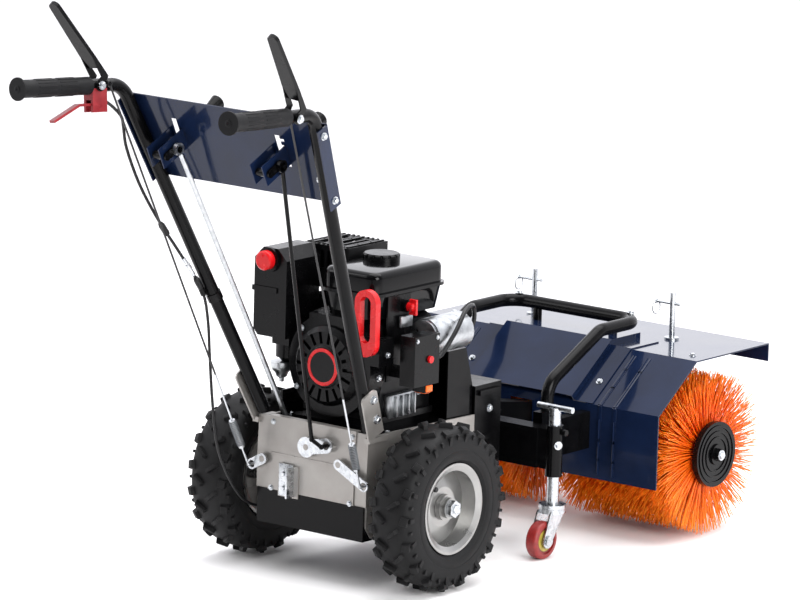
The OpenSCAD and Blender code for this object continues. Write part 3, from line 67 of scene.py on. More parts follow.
# Camera at the photograph's angle: a long lens, a slight roll
shot = dict(azimuth=37.85, elevation=11.31, roll=1.62, lens=269.96, distance=11470, target=(120.28, -124.7, 551.42))
sa, ca = math.sin(math.radians(shot["azimuth"])), math.cos(math.radians(shot["azimuth"]))
se, ce = math.sin(math.radians(shot["elevation"])), math.cos(math.radians(shot["elevation"]))
away = Vector((sa * ce, -ca * ce, se))
sideways = Vector((ca, sa, 0))
upwards = away.cross(sideways)
turn = math.radians(shot["roll"])
camRight = sideways * math.cos(turn) + upwards * math.sin(turn)
camUp = upwards * math.cos(turn) - sideways * math.sin(turn)
camData = bpy.data.cameras.new("photoCamera")
camData.lens, camData.sensor_width, camData.clip_end = shot["lens"], 36, 200
camera = bpy.data.objects.new("photoCamera", camData)
scene.collection.objects.link(camera)
spot = at(*shot["target"]) + away * shot["distance"] * mm
camera.matrix_world = Matrix.Translation(spot) @ Matrix((camRight, camUp, away)).transposed().to_4x4()
scene.camera = camera
scene.view_settings.view_transform = "Standard"
print("camera placed")


# One node with its settings, its own values and its links
def addNode(tree, kind, values=None, links=None, **settings):
    node = tree.nodes.new(kind)
    for key, value in settings.items():
        setattr(node, key, value)
    for key, value in (values or {}).items():
        node.inputs[key].default_value = value
    for key, source in (links or {}).items():
        tree.links.new(source, node.inputs[key])
    return node


# An empty material with a shader, its output and object coordinates
def startFinish(name, **shader):
    finish = bpy.data.materials.new(name)
    finish.use_nodes = True
    tree = finish.node_tree
    tree.nodes.clear()
    surface = addNode(tree, "ShaderNodeBsdfPrincipled", values=shader)
    addNode(tree, "ShaderNodeOutputMaterial", links={"Surface": surface.outputs[0]})
    coords = addNode(tree, "ShaderNodeTexCoord").outputs["Object"]
    return finish, tree, surface, coords


# Two tones mixed by a noise of a given patch size, a spread of roughness and a grain with a given size and height
def mottled(name, tones, patch, rough, grain, height, strength, **shader):
    finish, tree, surface, coords = startFinish(name, **shader)
    cloud = addNode(tree, "ShaderNodeTexNoise", {"Scale": 1 / (patch * mm), "Detail": 4.0}, {"Vector": coords})
    ramp = addNode(tree, "ShaderNodeValToRGB", links={"Fac": cloud.outputs["Fac"]})
    ramp.color_ramp.elements[0].position, ramp.color_ramp.elements[1].position = 0.32, 0.68
    ramp.color_ramp.elements[0].color = linearColour(tones[0])
    ramp.color_ramp.elements[1].color = linearColour(tones[1])
    tree.links.new(ramp.outputs["Color"], surface.inputs["Base Color"])
    spread = addNode(tree, "ShaderNodeMapRange",
                     {"From Min": 0.3, "From Max": 0.7, "To Min": rough[0], "To Max": rough[1]},
                     {"Value": cloud.outputs["Fac"]})
    tree.links.new(spread.outputs["Result"], surface.inputs["Roughness"])
    fine = addNode(tree, "ShaderNodeTexNoise", {"Scale": 1 / (grain * mm), "Detail": 2.0}, {"Vector": coords})
    bump = addNode(tree, "ShaderNodeBump", {"Strength": strength, "Distance": height * mm},
                   {"Height": fine.outputs["Fac"]})
    tree.links.new(bump.outputs["Normal"], surface.inputs["Normal"])
    return finish


# Gloss enamel on pressed steel: deep navy, faint orange peel, clear skin on top
navyEnamel = mottled("navyEnamel", ("#0e182e", "#121e38"), 90, (0.14, 0.22), 2.2, 0.02, 0.2,
                     **{"Coat Weight": 1.0, "Coat Roughness": 0.05, "Coat IOR": 1.22, "IOR": 1.18})
# Satin powder coat on tube and plate: near black with a fine pebble
blackPowder = mottled("blackPowder", ("#050506", "#0a0a0b"), 40, (0.17, 0.27), 1.3, 0.02, 0.15, **{"IOR": 1.22})
# Satin silver-grey paint on the pressed rear cover, a little warm
greyEnamel = mottled("greyEnamel", ("#8c8884", "#9a9793"), 60, (0.28, 0.4), 1.8, 0.04, 0.25,
                     **{"Metallic": 0.6, "IOR": 1.5})
# Dark red powder coat on the steering lever
redPowder = mottled("redPowder", ("#7a1a20", "#93242a"), 25, (0.34, 0.46), 1.2, 0.05, 0.3, **{"IOR": 1.5})
# Silver lacquer on the spun wheel discs
rimLacquer = mottled("rimLacquer", ("#8f8f8e", "#a09f9d"), 45, (0.26, 0.36), 1.5, 0.03, 0.2,
                     **{"Metallic": 0.85, "IOR": 1.5})
# Bright zinc plate on steel: bluish white metal with a soft spangle
zincPlate = mottled("zincPlate", ("#a9adb1", "#d0d3d6"), 9, (0.2, 0.38), 1.6, 0.03, 0.2, **{"Metallic": 1.0})
# Black painted die-cast alloy: the sand of the mould shows
castAlloy = mottled("castAlloy", ("#060607", "#0c0c0d"), 20, (0.28, 0.42), 1.6, 0.08, 0.3, **{"IOR": 1.28})
# Bare machined alloy, brushed and slightly dull
bareAlloy = mottled("bareAlloy", ("#a3a6a9", "#c4c7c9"), 14, (0.25, 0.42), 1.4, 0.04, 0.25, **{"Metallic": 1.0})
# Moulded ABS covers with a matt grain
mouldedBlack = mottled("mouldedBlack", ("#050506", "#0a0a0b"), 30, (0.18, 0.3), 1.1, 0.02, 0.15, **{"IOR": 1.25})
# Polished black lacquer of the fuel tank
tankLacquer = mottled("tankLacquer", ("#040405", "#070708"), 80, (0.08, 0.14), 3.0, 0.02, 0.1,
                      **{"Coat Weight": 0.5, "Coat Roughness": 0.04, "Coat IOR": 1.24, "IOR": 1.18})
# Glossy red ABS of the hand controls
redMoulding = mottled("redMoulding", ("#b40c11", "#c8151a"), 25, (0.2, 0.3), 1.4, 0.02, 0.15, **{"IOR": 1.38})
# Soft grip rubber, matt with a dusty bloom
gripRubber = mottled("gripRubber", ("#0b0b0c", "#131315"), 14, (0.5, 0.68), 1.0, 0.07, 0.4, **{"IOR": 1.28})
# Cable jacket: smooth black PVC
cableJacket = mottled("cableJacket", ("#070708", "#0e0e10"), 12, (0.28, 0.4), 1.0, 0.02, 0.15, **{"IOR": 1.36})
# Orange polypropylene inlet plug
orangeMoulding = mottled("orangeMoulding", ("#e85a12", "#f56f1e"), 12, (0.3, 0.42), 1.2, 0.03, 0.2, **{"IOR": 1.49})
# Braided nylon of the recoil rope, dark grey
nylonRope = mottled("nylonRope", ("#1c1c1d", "#3a3a3c"), 2.5, (0.5, 0.65), 1.2, 0.2, 0.6, **{"IOR": 1.5})
# Dark steel of the springs
springSteel = mottled("springSteel", ("#5a5c5f", "#7d8083"), 6, (0.28, 0.42), 1.0, 0.02, 0.2, **{"Metallic": 1.0})


# Tyre rubber: carbon black with a cloudy grey bloom and the grain of its mould
def tyreCompound():
    finish, tree, surface, coords = startFinish("tyreCompound", **{"IOR": 1.3})
    cloud = addNode(tree, "ShaderNodeTexNoise", {"Scale": 1 / (18 * mm), "Detail": 6.0}, {"Vector": coords})
    ramp = addNode(tree, "ShaderNodeValToRGB", links={"Fac": cloud.outputs["Fac"]})
    ramp.color_ramp.elements[0].position, ramp.color_ramp.elements[1].position = 0.3, 0.75
    ramp.color_ramp.elements[0].color = linearColour("#070708")
    ramp.color_ramp.elements[1].color = linearColour("#111112")
    tree.links.new(ramp.outputs["Color"], surface.inputs["Base Color"])
    spread = addNode(tree, "ShaderNodeMapRange", {"To Min": 0.48, "To Max": 0.72}, {"Value": cloud.outputs["Fac"]})
    tree.links.new(spread.outputs["Result"], surface.inputs["Roughness"])
    fine = addNode(tree, "ShaderNodeTexNoise", {"Scale": 1 / (1.6 * mm), "Detail": 3.0}, {"Vector": coords})
    bump = addNode(tree, "ShaderNodeBump", {"Strength": 0.35, "Distance": 0.12 * mm}, {"Height": fine.outputs["Fac"]})
    tree.links.new(bump.outputs["Normal"], surface.inputs["Normal"])
    return finish


# Colour by distance from an axis along X, as a ring pattern turned on a wheel or brush
def ringed(name, centre, stops, patch, rough, **shader):
    finish, tree, surface, coords = startFinish(name, **shader)
    place = addNode(tree, "ShaderNodeMapping", {"Location": (0, -centre[1] * mm, -centre[2] * mm), "Scale": (0, 1, 1)},
                    {"Vector": coords}, vector_type="POINT")
    reach = addNode(tree, "ShaderNodeVectorMath", links={0: place.outputs[0]}, operation="LENGTH")
    last = stops[-1][0] * mm
    share = addNode(tree, "ShaderNodeMath", {1: last}, {0: reach.outputs["Value"]}, operation="DIVIDE")
    ramp = addNode(tree, "ShaderNodeValToRGB", links={"Fac": share.outputs[0]})
    while len(ramp.color_ramp.elements) < len(stops):
        ramp.color_ramp.elements.new(0.5)
    for element, (radius, tone) in zip(ramp.color_ramp.elements, stops):
        element.position, element.color = radius * mm / last, linearColour(tone)
    cloud = addNode(tree, "ShaderNodeTexNoise", {"Scale": 1 / (patch * mm), "Detail": 3.0}, {"Vector": coords})
    light = addNode(tree, "ShaderNodeMapRange", {"From Min": 0.3, "From Max": 0.7, "To Min": 0.78, "To Max": 1.12},
                    {"Value": cloud.outputs["Fac"]})
    tinted = addNode(tree, "ShaderNodeVectorMath", links={0: ramp.outputs["Color"], "Scale": light.outputs["Result"]},
                     operation="SCALE")
    tree.links.new(tinted.outputs[0], surface.inputs["Base Color"])
    spread = addNode(tree, "ShaderNodeMapRange", {"To Min": rough[0], "To Max": rough[1]},
                     {"Value": cloud.outputs["Fac"]})
    tree.links.new(spread.outputs["Result"], surface.inputs["Roughness"])
    return finish


# Clutch cable: black sheath above a given height, bright zinc wire and spring sleeve below it
def sheathedWire(name, split):
    finish, tree, surface, coords = startFinish(name)
    height = addNode(tree, "ShaderNodeSeparateXYZ", links={0: coords}).outputs["Z"]
    upper = addNode(tree, "ShaderNodeMath", {1: split * mm}, {0: height}, operation="GREATER_THAN").outputs[0]
    ramp = addNode(tree, "ShaderNodeValToRGB", links={"Fac": upper})
    ramp.color_ramp.elements[0].color = linearColour("#bfc2c5")
    ramp.color_ramp.elements[1].color = linearColour("#0d0d0f")
    tree.links.new(ramp.outputs["Color"], surface.inputs["Base Color"])
    metal = addNode(tree, "ShaderNodeMapRange", {"To Min": 1.0, "To Max": 0.0}, {"Value": upper})
    tree.links.new(metal.outputs["Result"], surface.inputs["Metallic"])
    spread = addNode(tree, "ShaderNodeMapRange", {"To Min": 0.28, "To Max": 0.42}, {"Value": upper})
    tree.links.new(spread.outputs["Result"], surface.inputs["Roughness"])
    return finish


brushAt = Vector((0, 613.3, 168))
clutchWire = sheathedWire("clutchWire", 395)
tyreRubber = tyreCompound()
# Extruded polypropylene bristle: saturated orange, with painted shade that makes it redder and darker towards the core,
# deep among the strands, and lighter at the tips
bristleFibreCoreShade = ringed("bristleFibreCoreShade", brushAt,
                      ((40, "#ee5200"), (80, "#ff6a04"), (120, "#ff7808"), (166, "#ff8616")), 5, (0.36, 0.5),
                      **{"IOR": 1.49, "Subsurface Weight": 0.25, "Subsurface Scale": 0.006})
# Cast polyurethane castor rolls: yellow hub, dark seam, wine red tread
rollStops = ((10, "#9a8a3c"), (21, "#a8963f"), (22.5, "#5e1816"), (24, "#7d1d1b"), (38, "#8a2220"))
castorSide = {side: ringed("castorRoll" + side, (0, 220.3, 37.5), rollStops, 8, (0.3, 0.45), **{"IOR": 1.5})
              for side in ("Left", "Right")}
print("finishes mixed")

# The finish of each CAD node
nodeFinish = {
    navyEnamel: "hood centre_cover control_panel",
    blackPowder: "engine_deck bottom_pan front_frame belt_cover handle_tubes deck_frame guard_bar gear_rod",
    greyEnamel: "rear_cover side_plates",
    redPowder: "steer_bracket steer_lever",
    rimLacquer: "rim_left rim_right",
    zincPlate: "axle hood_posts lynch_pin_left lynch_pin_right castor_stem_left castor_stem_right castor_fork_left"
               " castor_fork_right gear_crank brush_arm drive_arm",
    clutchWire: "drive_wire brush_wire",
    castAlloy: "crankcase cylinder_head chain_case muffler",
    bareAlloy: "starter_motor angle_rod",
    mouldedBlack: "recoil_cover air_box starter_box drive_lever brush_lever gear_lever angle_lever brush_shaft"
                  " end_discs fuel_cap",
    tankLacquer: "fuel_tank",
    redMoulding: "choke_knob starter_grip ignition_key start_button",
    gripRubber: "grips",
    cableJacket: "starter_lead steer_cable",
    tyreRubber: "tyre_left tyre_right",
    bristleFibreCoreShade: "bristles_left bristles_right",
    castorSide["Left"]: "castor_wheel_left",
    castorSide["Right"]: "castor_wheel_right",
}
for finish, names in nodeFinish.items():
    for name in names.split():
        nodes[name].data.materials.clear()
        nodes[name].data.materials.append(finish)


# A piece from a bmesh, on a body unless none is given
def newPiece(name, bm, finish, body, crease=35):
    bmesh.ops.recalc_face_normals(bm, faces=bm.faces)
    mesh = bpy.data.meshes.new(name)
    bm.to_mesh(mesh)
    bm.free()
    mesh.shade_smooth()
    mesh.set_sharp_from_angle(angle=math.radians(crease))
    mesh.materials.append(finish)
    piece = bpy.data.objects.new(name, mesh)
    scene.collection.objects.link(piece)
    if body is not None:
        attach(piece, body)
    return piece


# Turns local Z to a direction and moves to a place
def stand(place, direction):
    return Matrix.Translation(place) @ axisZ.rotation_difference(direction).to_matrix().to_4x4()


trees = {}


# Where a ray from a place first meets a node, with the face's direction
def meet(node, start, toward):
    if node not in trees:
        mesh = nodes[node].data
        trees[node] = BVHTree.FromPolygons([v.co for v in mesh.vertices], [p.vertices for p in mesh.polygons])
    place, normal, _, _ = trees[node].ray_cast(at(*start), Vector(toward))
    if place is None:
        print("no", node, "on the way from", start)
        return None, None
    return place, -normal if normal.dot(Vector(toward)) > 0 else normal


# A hex or domed head, on a washer or bare, added to a growing bmesh; sink is how far its place lies in the face
bolt = dict(sink=0.2, washer=1.6, washerUp=0.7, headUp=1.2, wide=(1.45, 1.4))


def addBolt(bm, place, direction, radius, height, washer=True, domed=False):
    frameOf = stand(place, direction)
    if washer:
        bmesh.ops.create_cone(bm, cap_ends=True, segments=20, radius1=radius * bolt["wide"][0],
                              radius2=radius * bolt["wide"][1], depth=bolt["washer"] * mm,
                              matrix=frameOf @ Matrix.Translation((0, 0, bolt["washerUp"] * mm)))
    lift = height / 2 + (bolt["headUp"] * mm if washer else 0)
    made = bmesh.ops.create_cone(bm, cap_ends=True, segments=16 if domed else 6, radius1=radius, radius2=radius,
                                 depth=height, matrix=frameOf @ Matrix.Translation((0, 0, lift)))
    rims = [e for e in {e for v in made["verts"] for e in v.link_edges} if len(e.link_faces) == 2
            and max(len(f.verts) for f in e.link_faces) > 4]
    bmesh.ops.bevel(bm, geom=rims, offset=height * (0.4 if domed else 0.16), affect="EDGES",
                    segments=3 if domed else 1, profile=0.5, material=-1)


# Flexible leads: smooth lines through the route of their solids
leadRun = dict(radius=4.5, points=((141, 61.5, 470), (141, 75.3, 470), (142, 83.3, 490), (150, 67.3, 518),
                                   (162, 27.3, 514), (173, -14.7, 482), (170.5, -54.7, 442), (170.5, -68.5, 442)))
cableRun = dict(radius=3, points=((-232.67, -601.53, 944.92), (-231.38, -585.61, 943.88), (-214, -564.7, 918),
                                  (-219, -549.7, 890), (-225, -532.7, 850), (-216, -504.7, 780), (-198, -469.7, 710),
                                  (-182, -412.7, 630), (-172, -364.7, 560), (-173, -344.7, 500), (-175, -334.7, 430),
                                  (-173, -324.7, 330), (-164, -314.7, 240), (-154, -274.7, 160), (-152, -224.7, 122),
                                  (-147, -164.7, 112), (-135.2, -164.7, 112)))


# One smooth open line through the points, four steps to a span
def smoothLine(points):
    route, count = [at(*p) for p in points], len(points)
    line = []
    for i in range(count - 1):
        a, b, c, d = route[max(i - 1, 0)], route[i], route[i + 1], route[min(i + 2, count - 1)]
        for k in range(4):
            t = k / 4
            line.append(0.5 * (2 * b + (c - a) * t + (2 * a - 5 * b + 4 * c - d) * t ** 2
                               + (3 * b - a - 3 * c + d) * t ** 3))
    return line + [route[-1]]


# A round cord along a run, in place of its CAD solid
def layCord(name, run, node, finish, body):
    line = smoothLine(run["points"])
    data = bpy.data.curves.new(name, "CURVE")
    data.dimensions, data.use_fill_caps = "3D", True
    data.bevel_depth, data.bevel_resolution = run["radius"] * mm, 3
    spline = data.splines.new("POLY")
    spline.points.add(len(line) - 1)
    for point, place in zip(spline.points, line):
        point.co = (*place, 1)
    spline.use_smooth = True
    data.materials.append(finish)
    cord = bpy.data.objects.new(name, data)
    scene.collection.objects.link(cord)
    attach(cord, body)
    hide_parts(node)


layCord("starterLead", leadRun, "starter_lead", cableJacket, "tractor")
layCord("steerCable", cableRun, "steer_cable", cableJacket, "tractor")
print("leads laid")

# Tyres: a carcass with moulded sidewall rings, chevron bars, shoulder blocks, side cleats and small spurs
tyre = dict(pitches=18, axleY=-124.7, axleZ=165, middle=224,
            outline=((30, 77.3), (32.5, 84), (36, 89.6), (43.5, 95), (45.5, 97), (45.5, 99), (46.6, 101), (47.4, 112),
                     (46.8, 113.2), (46.8, 115), (47.6, 116.2), (47.6, 127), (46, 138), (42, 147), (35, 153), (18, 156),
                     (0, 157)),
            bar=(30, 9.5, 14), barAt=(15.5, 158.2), barTurn=36,
            block=(17, 19, 12), blockAt=(38.5, 151.5), blockTurn=12, blockLean=24,
            cleat=(6, 9, 20), cleatAt=(45.6, 136.5), cleatLean=12,
            spur=(6, 6, 10), spurUp=5, spurLean=16, soft=1.4)


# A rubber block that narrows to its rounded top, turned, leaned and set in place
def taperedBlock(bm, size, place, turnZ=0.0, tip=0.8, lean=0.0):
    made = bmesh.ops.create_cube(bm, size=1)["verts"]
    for v in made:
        if v.co.z > 0:
            v.co.x *= tip
            v.co.y *= tip
    bmesh.ops.scale(bm, vec=Vector(size) * mm, verts=made)
    tops = [e for e in {e for v in made for e in v.link_edges} if min(p.co.z for p in e.verts) > 0]
    bevelled = bmesh.ops.bevel(bm, geom=tops, offset=tyre["soft"] * mm, affect="EDGES", segments=2, profile=0.5,
                               material=-1)
    block = list({v for v in made if v.is_valid} | set(bevelled["verts"]))
    bmesh.ops.rotate(bm, cent=(0, 0, 0), matrix=Matrix.Rotation(math.radians(turnZ), 3, "Z"), verts=block)
    bmesh.ops.rotate(bm, cent=(0, 0, 0), matrix=Matrix.Rotation(math.radians(lean), 3, "Y"), verts=block)
    bmesh.ops.translate(bm, vec=Vector(place) * mm, verts=block)


# One block repeated around the wheel, started a share of a pitch on
def treadRing(shape, pitches, phase):
    bm = bmesh.new()
    taperedBlock(bm, **shape)
    bmesh.ops.rotate(bm, cent=(0, 0, 0), matrix=Matrix.Rotation(phase * math.tau / pitches, 3, "X"), verts=bm.verts)
    bmesh.ops.spin(bm, geom=bm.verts[:] + bm.edges[:] + bm.faces[:], cent=(0, 0, 0), axis=(1, 0, 0), angle=math.tau,
                   steps=pitches, use_duplicate=True)
    bmesh.ops.remove_doubles(bm, verts=bm.verts, dist=1e-6)
    return bm


# Puts one bmesh into another and frees it
def addMesh(bm, other):
    joined = bpy.data.meshes.new("joined")
    other.to_mesh(joined)
    other.free()
    bm.from_mesh(joined)
    bpy.data.meshes.remove(joined)


def makeTyre(side, sign):
    bm = bmesh.new()
    chain = [bm.verts.new(at(w, 0, r)) for w, r in tyre["outline"]]
    chain += [bm.verts.new(at(-w, 0, r)) for w, r in reversed(tyre["outline"][:-1])]
    edges = [bm.edges.new(pair) for pair in zip(chain, chain[1:] + chain[:1])]
    bmesh.ops.spin(bm, geom=chain + edges, cent=(0, 0, 0), axis=(1, 0, 0), angle=math.tau, steps=108, use_merge=True)
    n = tyre["pitches"]
    for flip in (1, -1):
        half = 0.0 if flip > 0 else 0.5
        cleatX, cleatZ = flip * tyre["cleatAt"][0], tyre["cleatAt"][1]
        addMesh(bm, treadRing(dict(size=tyre["bar"], place=(flip * tyre["barAt"][0], 0, tyre["barAt"][1]),
                                   turnZ=flip * tyre["barTurn"]), n, half))
        addMesh(bm, treadRing(dict(size=tyre["block"], place=(flip * tyre["blockAt"][0], 0, tyre["blockAt"][1]),
                                   turnZ=-flip * tyre["blockTurn"], lean=flip * tyre["blockLean"], tip=0.84),
                              n, half + 0.5))
        addMesh(bm, treadRing(dict(size=tyre["cleat"], place=(cleatX, 0, cleatZ), lean=flip * tyre["cleatLean"],
                                   tip=0.9), n, half + 0.5))
        addMesh(bm, treadRing(dict(size=tyre["spur"], place=(cleatX, 0, cleatZ + tyre["spurUp"]),
                                   lean=flip * tyre["spurLean"], tip=0.9), n, half))
    bmesh.ops.translate(bm, vec=at(sign * tyre["middle"], tyre["axleY"], tyre["axleZ"]), verts=bm.verts)
    piece = newPiece("tyre" + side, bm, tyreRubber, "wheel_" + side.lower(), 32)
    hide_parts("tyre_" + side.lower())


makeTyre("Left", -1)
makeTyre("Right", 1)
print("tyres built")

# Brush: slices of crimped strands around the core, a few patterns of slice turned and shuffled
brush = dict(core=41, tip=161, around=112, slices=52, patterns=5, low=66, high=338, seed=7, ragged=(-7, 4),
             thick=1.3, taper=0.62, wave=1.7, flat=0.7, ripple=(9, 8), drift=6, lean=6, scatter=3.4, jitter=0.45,
             splay=13, splayFrom=60, splayOver=105, reach=165.5)


def brushSlice(dice):
    bm = bmesh.new()
    for k in range(brush["around"]):
        tall = brush["tip"] - brush["core"] + dice.uniform(*brush["ragged"])
        strand = bmesh.new()
        bmesh.ops.create_cone(strand, cap_ends=False, segments=3, radius1=brush["thick"] * mm,
                              radius2=brush["thick"] * brush["taper"] * mm, depth=tall * mm,
                              matrix=Matrix.Translation((0, 0, tall / 2 * mm)))
        long = [e for e in strand.edges if abs(e.verts[0].co.z - e.verts[1].co.z) > mm]
        bmesh.ops.subdivide_edges(strand, edges=long, cuts=3)
        phase = dice.uniform(0, math.tau)
        swing = dice.uniform(0.5, 1.3) * brush["wave"] * mm
        drift = dice.uniform(-1, 1)
        for v in strand.verts:
            share = v.co.z / (tall * mm)
            across = math.sin(share * brush["ripple"][0] + phase) - math.sin(phase)
            along = math.cos(share * brush["ripple"][1] + phase) - math.cos(phase)
            v.co.y += swing * across * share ** 0.5 + drift * brush["drift"] * mm * share ** 2
            v.co.x += swing * brush["flat"] * along * share ** 0.5
        tilt = Matrix.Rotation(math.radians(dice.uniform(-1, 1) * brush["lean"]), 4, "X")
        slide = Matrix.Translation((dice.uniform(-brush["scatter"], brush["scatter"]) * mm, 0, brush["core"] * mm))
        step = k + dice.uniform(-brush["jitter"], brush["jitter"])
        around = Matrix.Rotation(step * math.tau / brush["around"], 4, "X")
        bmesh.ops.transform(strand, matrix=around @ slide @ tilt, verts=strand.verts)
        addMesh(bm, strand)
    mesh = bpy.data.meshes.new("brushSlice")
    bm.to_mesh(mesh)
    bm.free()
    return mesh


brushDice = random.Random(brush["seed"])
sliceMeshes = [brushSlice(brushDice) for _ in range(brush["patterns"])]
for side, sign in (("Left", -1), ("Right", 1)):
    bm = bmesh.new()
    for k in range(brush["slices"]):
        x = brush["low"] + (brush["high"] - brush["low"]) * (k + 0.5) / brush["slices"]
        pattern = sliceMeshes[brushDice.randrange(brush["patterns"])]
        move = Matrix.Translation((sign * x * mm, 0, 0)) @ Matrix.Rotation(brushDice.uniform(0, math.tau), 4, "X")
        pattern.transform(move)
        bm.from_mesh(pattern)
        pattern.transform(move.inverted())
    middle, reach = sign * (brush["low"] + brush["high"]) / 2 * mm, (brush["high"] - brush["low"]) / 2 * mm
    for v in bm.verts:
        share = max(0.0, (math.hypot(v.co.y, v.co.z) / mm - brush["splayFrom"]) / brush["splayOver"])
        v.co.x += ((v.co.x - middle) / reach) ** 3 * brush["splay"] * mm * share ** 1.5
        over = math.hypot(v.co.y, v.co.z) / (brush["reach"] * mm)
        if over > 1:
            v.co.y /= over
            v.co.z /= over
    bmesh.ops.translate(bm, vec=brushAt * mm, verts=bm.verts)
    piece = newPiece("bristles" + side, bm, bristleFibreCoreShade, "brush", 180)
    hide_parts("bristles_" + side.lower())
for mesh in sliceMeshes:
    bpy.data.meshes.remove(mesh)
print("brush filled")

# Springs coiled over the clutch wires' sleeves, seen as close turns of dark wire
spring = dict(radius=6.9, wire=1.0, turns=15, steps=20, low=44, high=99)


def coilOn(name, foot, head, body):
    bm = bmesh.new()
    run = head - foot
    outset = Matrix.Translation((spring["radius"] * mm, 0, 0)) @ Matrix.Rotation(math.pi / 2, 4, "X")
    ring = bmesh.ops.create_circle(bm, cap_ends=False, segments=6, radius=spring["wire"] * mm, matrix=outset)["verts"]
    edges = list({e for v in ring for e in v.link_edges})
    count = spring["turns"] * spring["steps"]
    bmesh.ops.spin(bm, geom=ring + edges, cent=(0, 0, 0), axis=(0, 0, 1), angle=spring["turns"] * math.tau,
                   steps=count, dvec=(0, 0, run.length / count))
    bmesh.ops.holes_fill(bm, edges=[e for e in bm.edges if e.is_boundary], sides=8)
    bmesh.ops.transform(bm, matrix=stand(foot, run.normalized()), verts=bm.verts)
    newPiece(name, bm, springSteel, body, 60)


wireTop, wireEnd = at(216.4, -596.6, 980.6), at(138, -255.7, 208)
wireWay = (wireTop - wireEnd).normalized()
for side, sign, body in (("Right", 1, "brush_wire"), ("Left", -1, "drive_wire")):
    mirror = Vector((sign, 1, 1))
    coilOn("returnSpring" + side, (wireEnd + wireWay * spring["low"] * mm) * mirror,
           (wireEnd + wireWay * spring["high"] * mm) * mirror, body)
print("springs coiled")

# Bolts, one mesh for each body: the node they sit on, where a ray starts, its way, head radius and height
tractorBolts = bmesh.new()
boltSpots = [("control_panel", (sx * x, -760, z), (0, 1, -0.35), 5, 4.5)
             for sx in (1, -1) for x, z in ((206, 1050), (186, 940))]
boltSpots += [("control_panel", (sx * 400, y, z), (-sx, 0, 0), 5.5, 5)
              for sx in (1, -1) for y, z in ((-459, 801), (-522, 931))]
boltSpots += [("recoil_cover", (400, -158, z), (-1, 0, 0), 4.5, 4.5) for z in (400, 448)]
boltSpots += [("side_plates", (sx * 400, y, z), (-sx, 0, 0), 6.5, 6)
              for sx in (1, -1) for y, z in ((-246, 380), (-226, 338))]
boltSpots += [("rear_cover", (x, -400, z), (0, 1, 0), 4, 3.5) for x in (-97, 97) for z in (166, 296)]
boltSpots += [("front_frame", (sx * 400, 150, z), (-sx, 0, 0), 5.5, 5) for sx in (1, -1) for z in (175, 300)]
boltSpots += [("side_plates", (sx * 400, y, 300), (-sx, 0, 0), 5, 4.5) for sx in (1, -1) for y in (-90, 40, 90)]
boltSpots += [("crankcase", (400, y, z), (-1, 0, 0), 4.5, 4.5)
              for y, z in ((-105, 350), (-60, 340), (-20, 352), (30, 345))]
boltSpots += [("recoil_cover", (x, -400, z), (0, 1, 0), 4, 3.5)
              for x, z in ((-80, 362), (82, 362), (-70, 478), (98, 488))]
boltSpots += [("air_box", (x, -400, 420), (0, 1, 0), 4, 3) for x in (-190, -130)]
boltSpots += [("muffler", (x, 400, z), (0, -1, 0), 4, 4) for x in (-140, -76) for z in (520, 590)]
boltSpots += [("starter_box", (400, y, z), (-1, 0, 0), 3, 2.5) for z in (384, 480) for y in (-138, -76)]
boltSpots += [("starter_motor", (x, 400, z), (0, -1, 0), 3.5, 3.5) for x, z in ((112, 448), (144, 478), (112, 478))]
boltSpots += [("engine_deck", (x, y, 700), (0, 0, -1), 5, 4.5) for x in (-118, 118) for y in (-150, 70)]
for node, start, toward, radius, height in boltSpots:
    place, normal = meet(node, start, toward)
    if place is not None:
        addBolt(tractorBolts, place - normal * bolt["sink"] * mm, normal, radius * mm, height * mm)
newPiece("boltsTractor", tractorBolts, zincPlate, "tractor", 30)

deckBolts = bmesh.new()
boltSpots = [("hood", (sx * 300, 600, 700), (0, 0, -1), 5, 4) for sx in (1, -1)]
boltSpots += [("centre_cover", (sx * 160, 480, 700), (0, 0, -1), 5, 4) for sx in (1, -1)]
boltSpots += [("deck_frame", (sx * 235, 0, 225), (0, 1, 0), 6, 5) for sx in (1, -1)]
boltSpots += [("guard_bar", (sx * 140, 606, 700), (0, 0, -1), 6, 5) for sx in (1, -1)]
boltSpots += [("chain_case", (400, 613.3 + 40 * math.cos(a), 168 + 40 * math.sin(a)), (-1, 0, 0), 4, 4)
              for a in (0.6, 2.2, 3.8, 5.2)]
for node, start, toward, radius, height in boltSpots:
    place, normal = meet(node, start, toward)
    if place is not None:
        addBolt(deckBolts, place - normal * bolt["sink"] * mm, normal, radius * mm, height * mm,
                domed=node == "guard_bar")
newPiece("boltsDeck", deckBolts, zincPlate, "deck", 30)

shaftBolt = dict(radius=7.5, height=4)
brushBolts = bmesh.new()
for sign in (1, -1):
    place, normal = meet("end_discs", (sign * 400, *brushAt.yz), (-sign, 0, 0))
    addBolt(brushBolts, place - normal * bolt["sink"] * mm, normal, shaftBolt["radius"] * mm, shaftBolt["height"] * mm)
newPiece("boltsBrush", brushBolts, zincPlate, "brush", 30)


# A piece turned about an axis from an outline of radius and height
def turned(name, outline, place, direction, finish, body, steps=48, crease=35):
    bm = bmesh.new()
    chain = [bm.verts.new(at(r, 0, h)) for r, h in outline]
    edges = [bm.edges.new(pair) for pair in zip(chain, chain[1:])]
    bmesh.ops.spin(bm, geom=chain + edges, cent=(0, 0, 0), axis=(0, 0, 1), angle=math.tau, steps=steps, use_merge=True)
    bmesh.ops.remove_doubles(bm, verts=bm.verts, dist=1e-6)
    bmesh.ops.transform(bm, matrix=stand(place, Vector(direction).normalized()), verts=bm.verts)
    newPiece(name, bm, finish, body, crease)


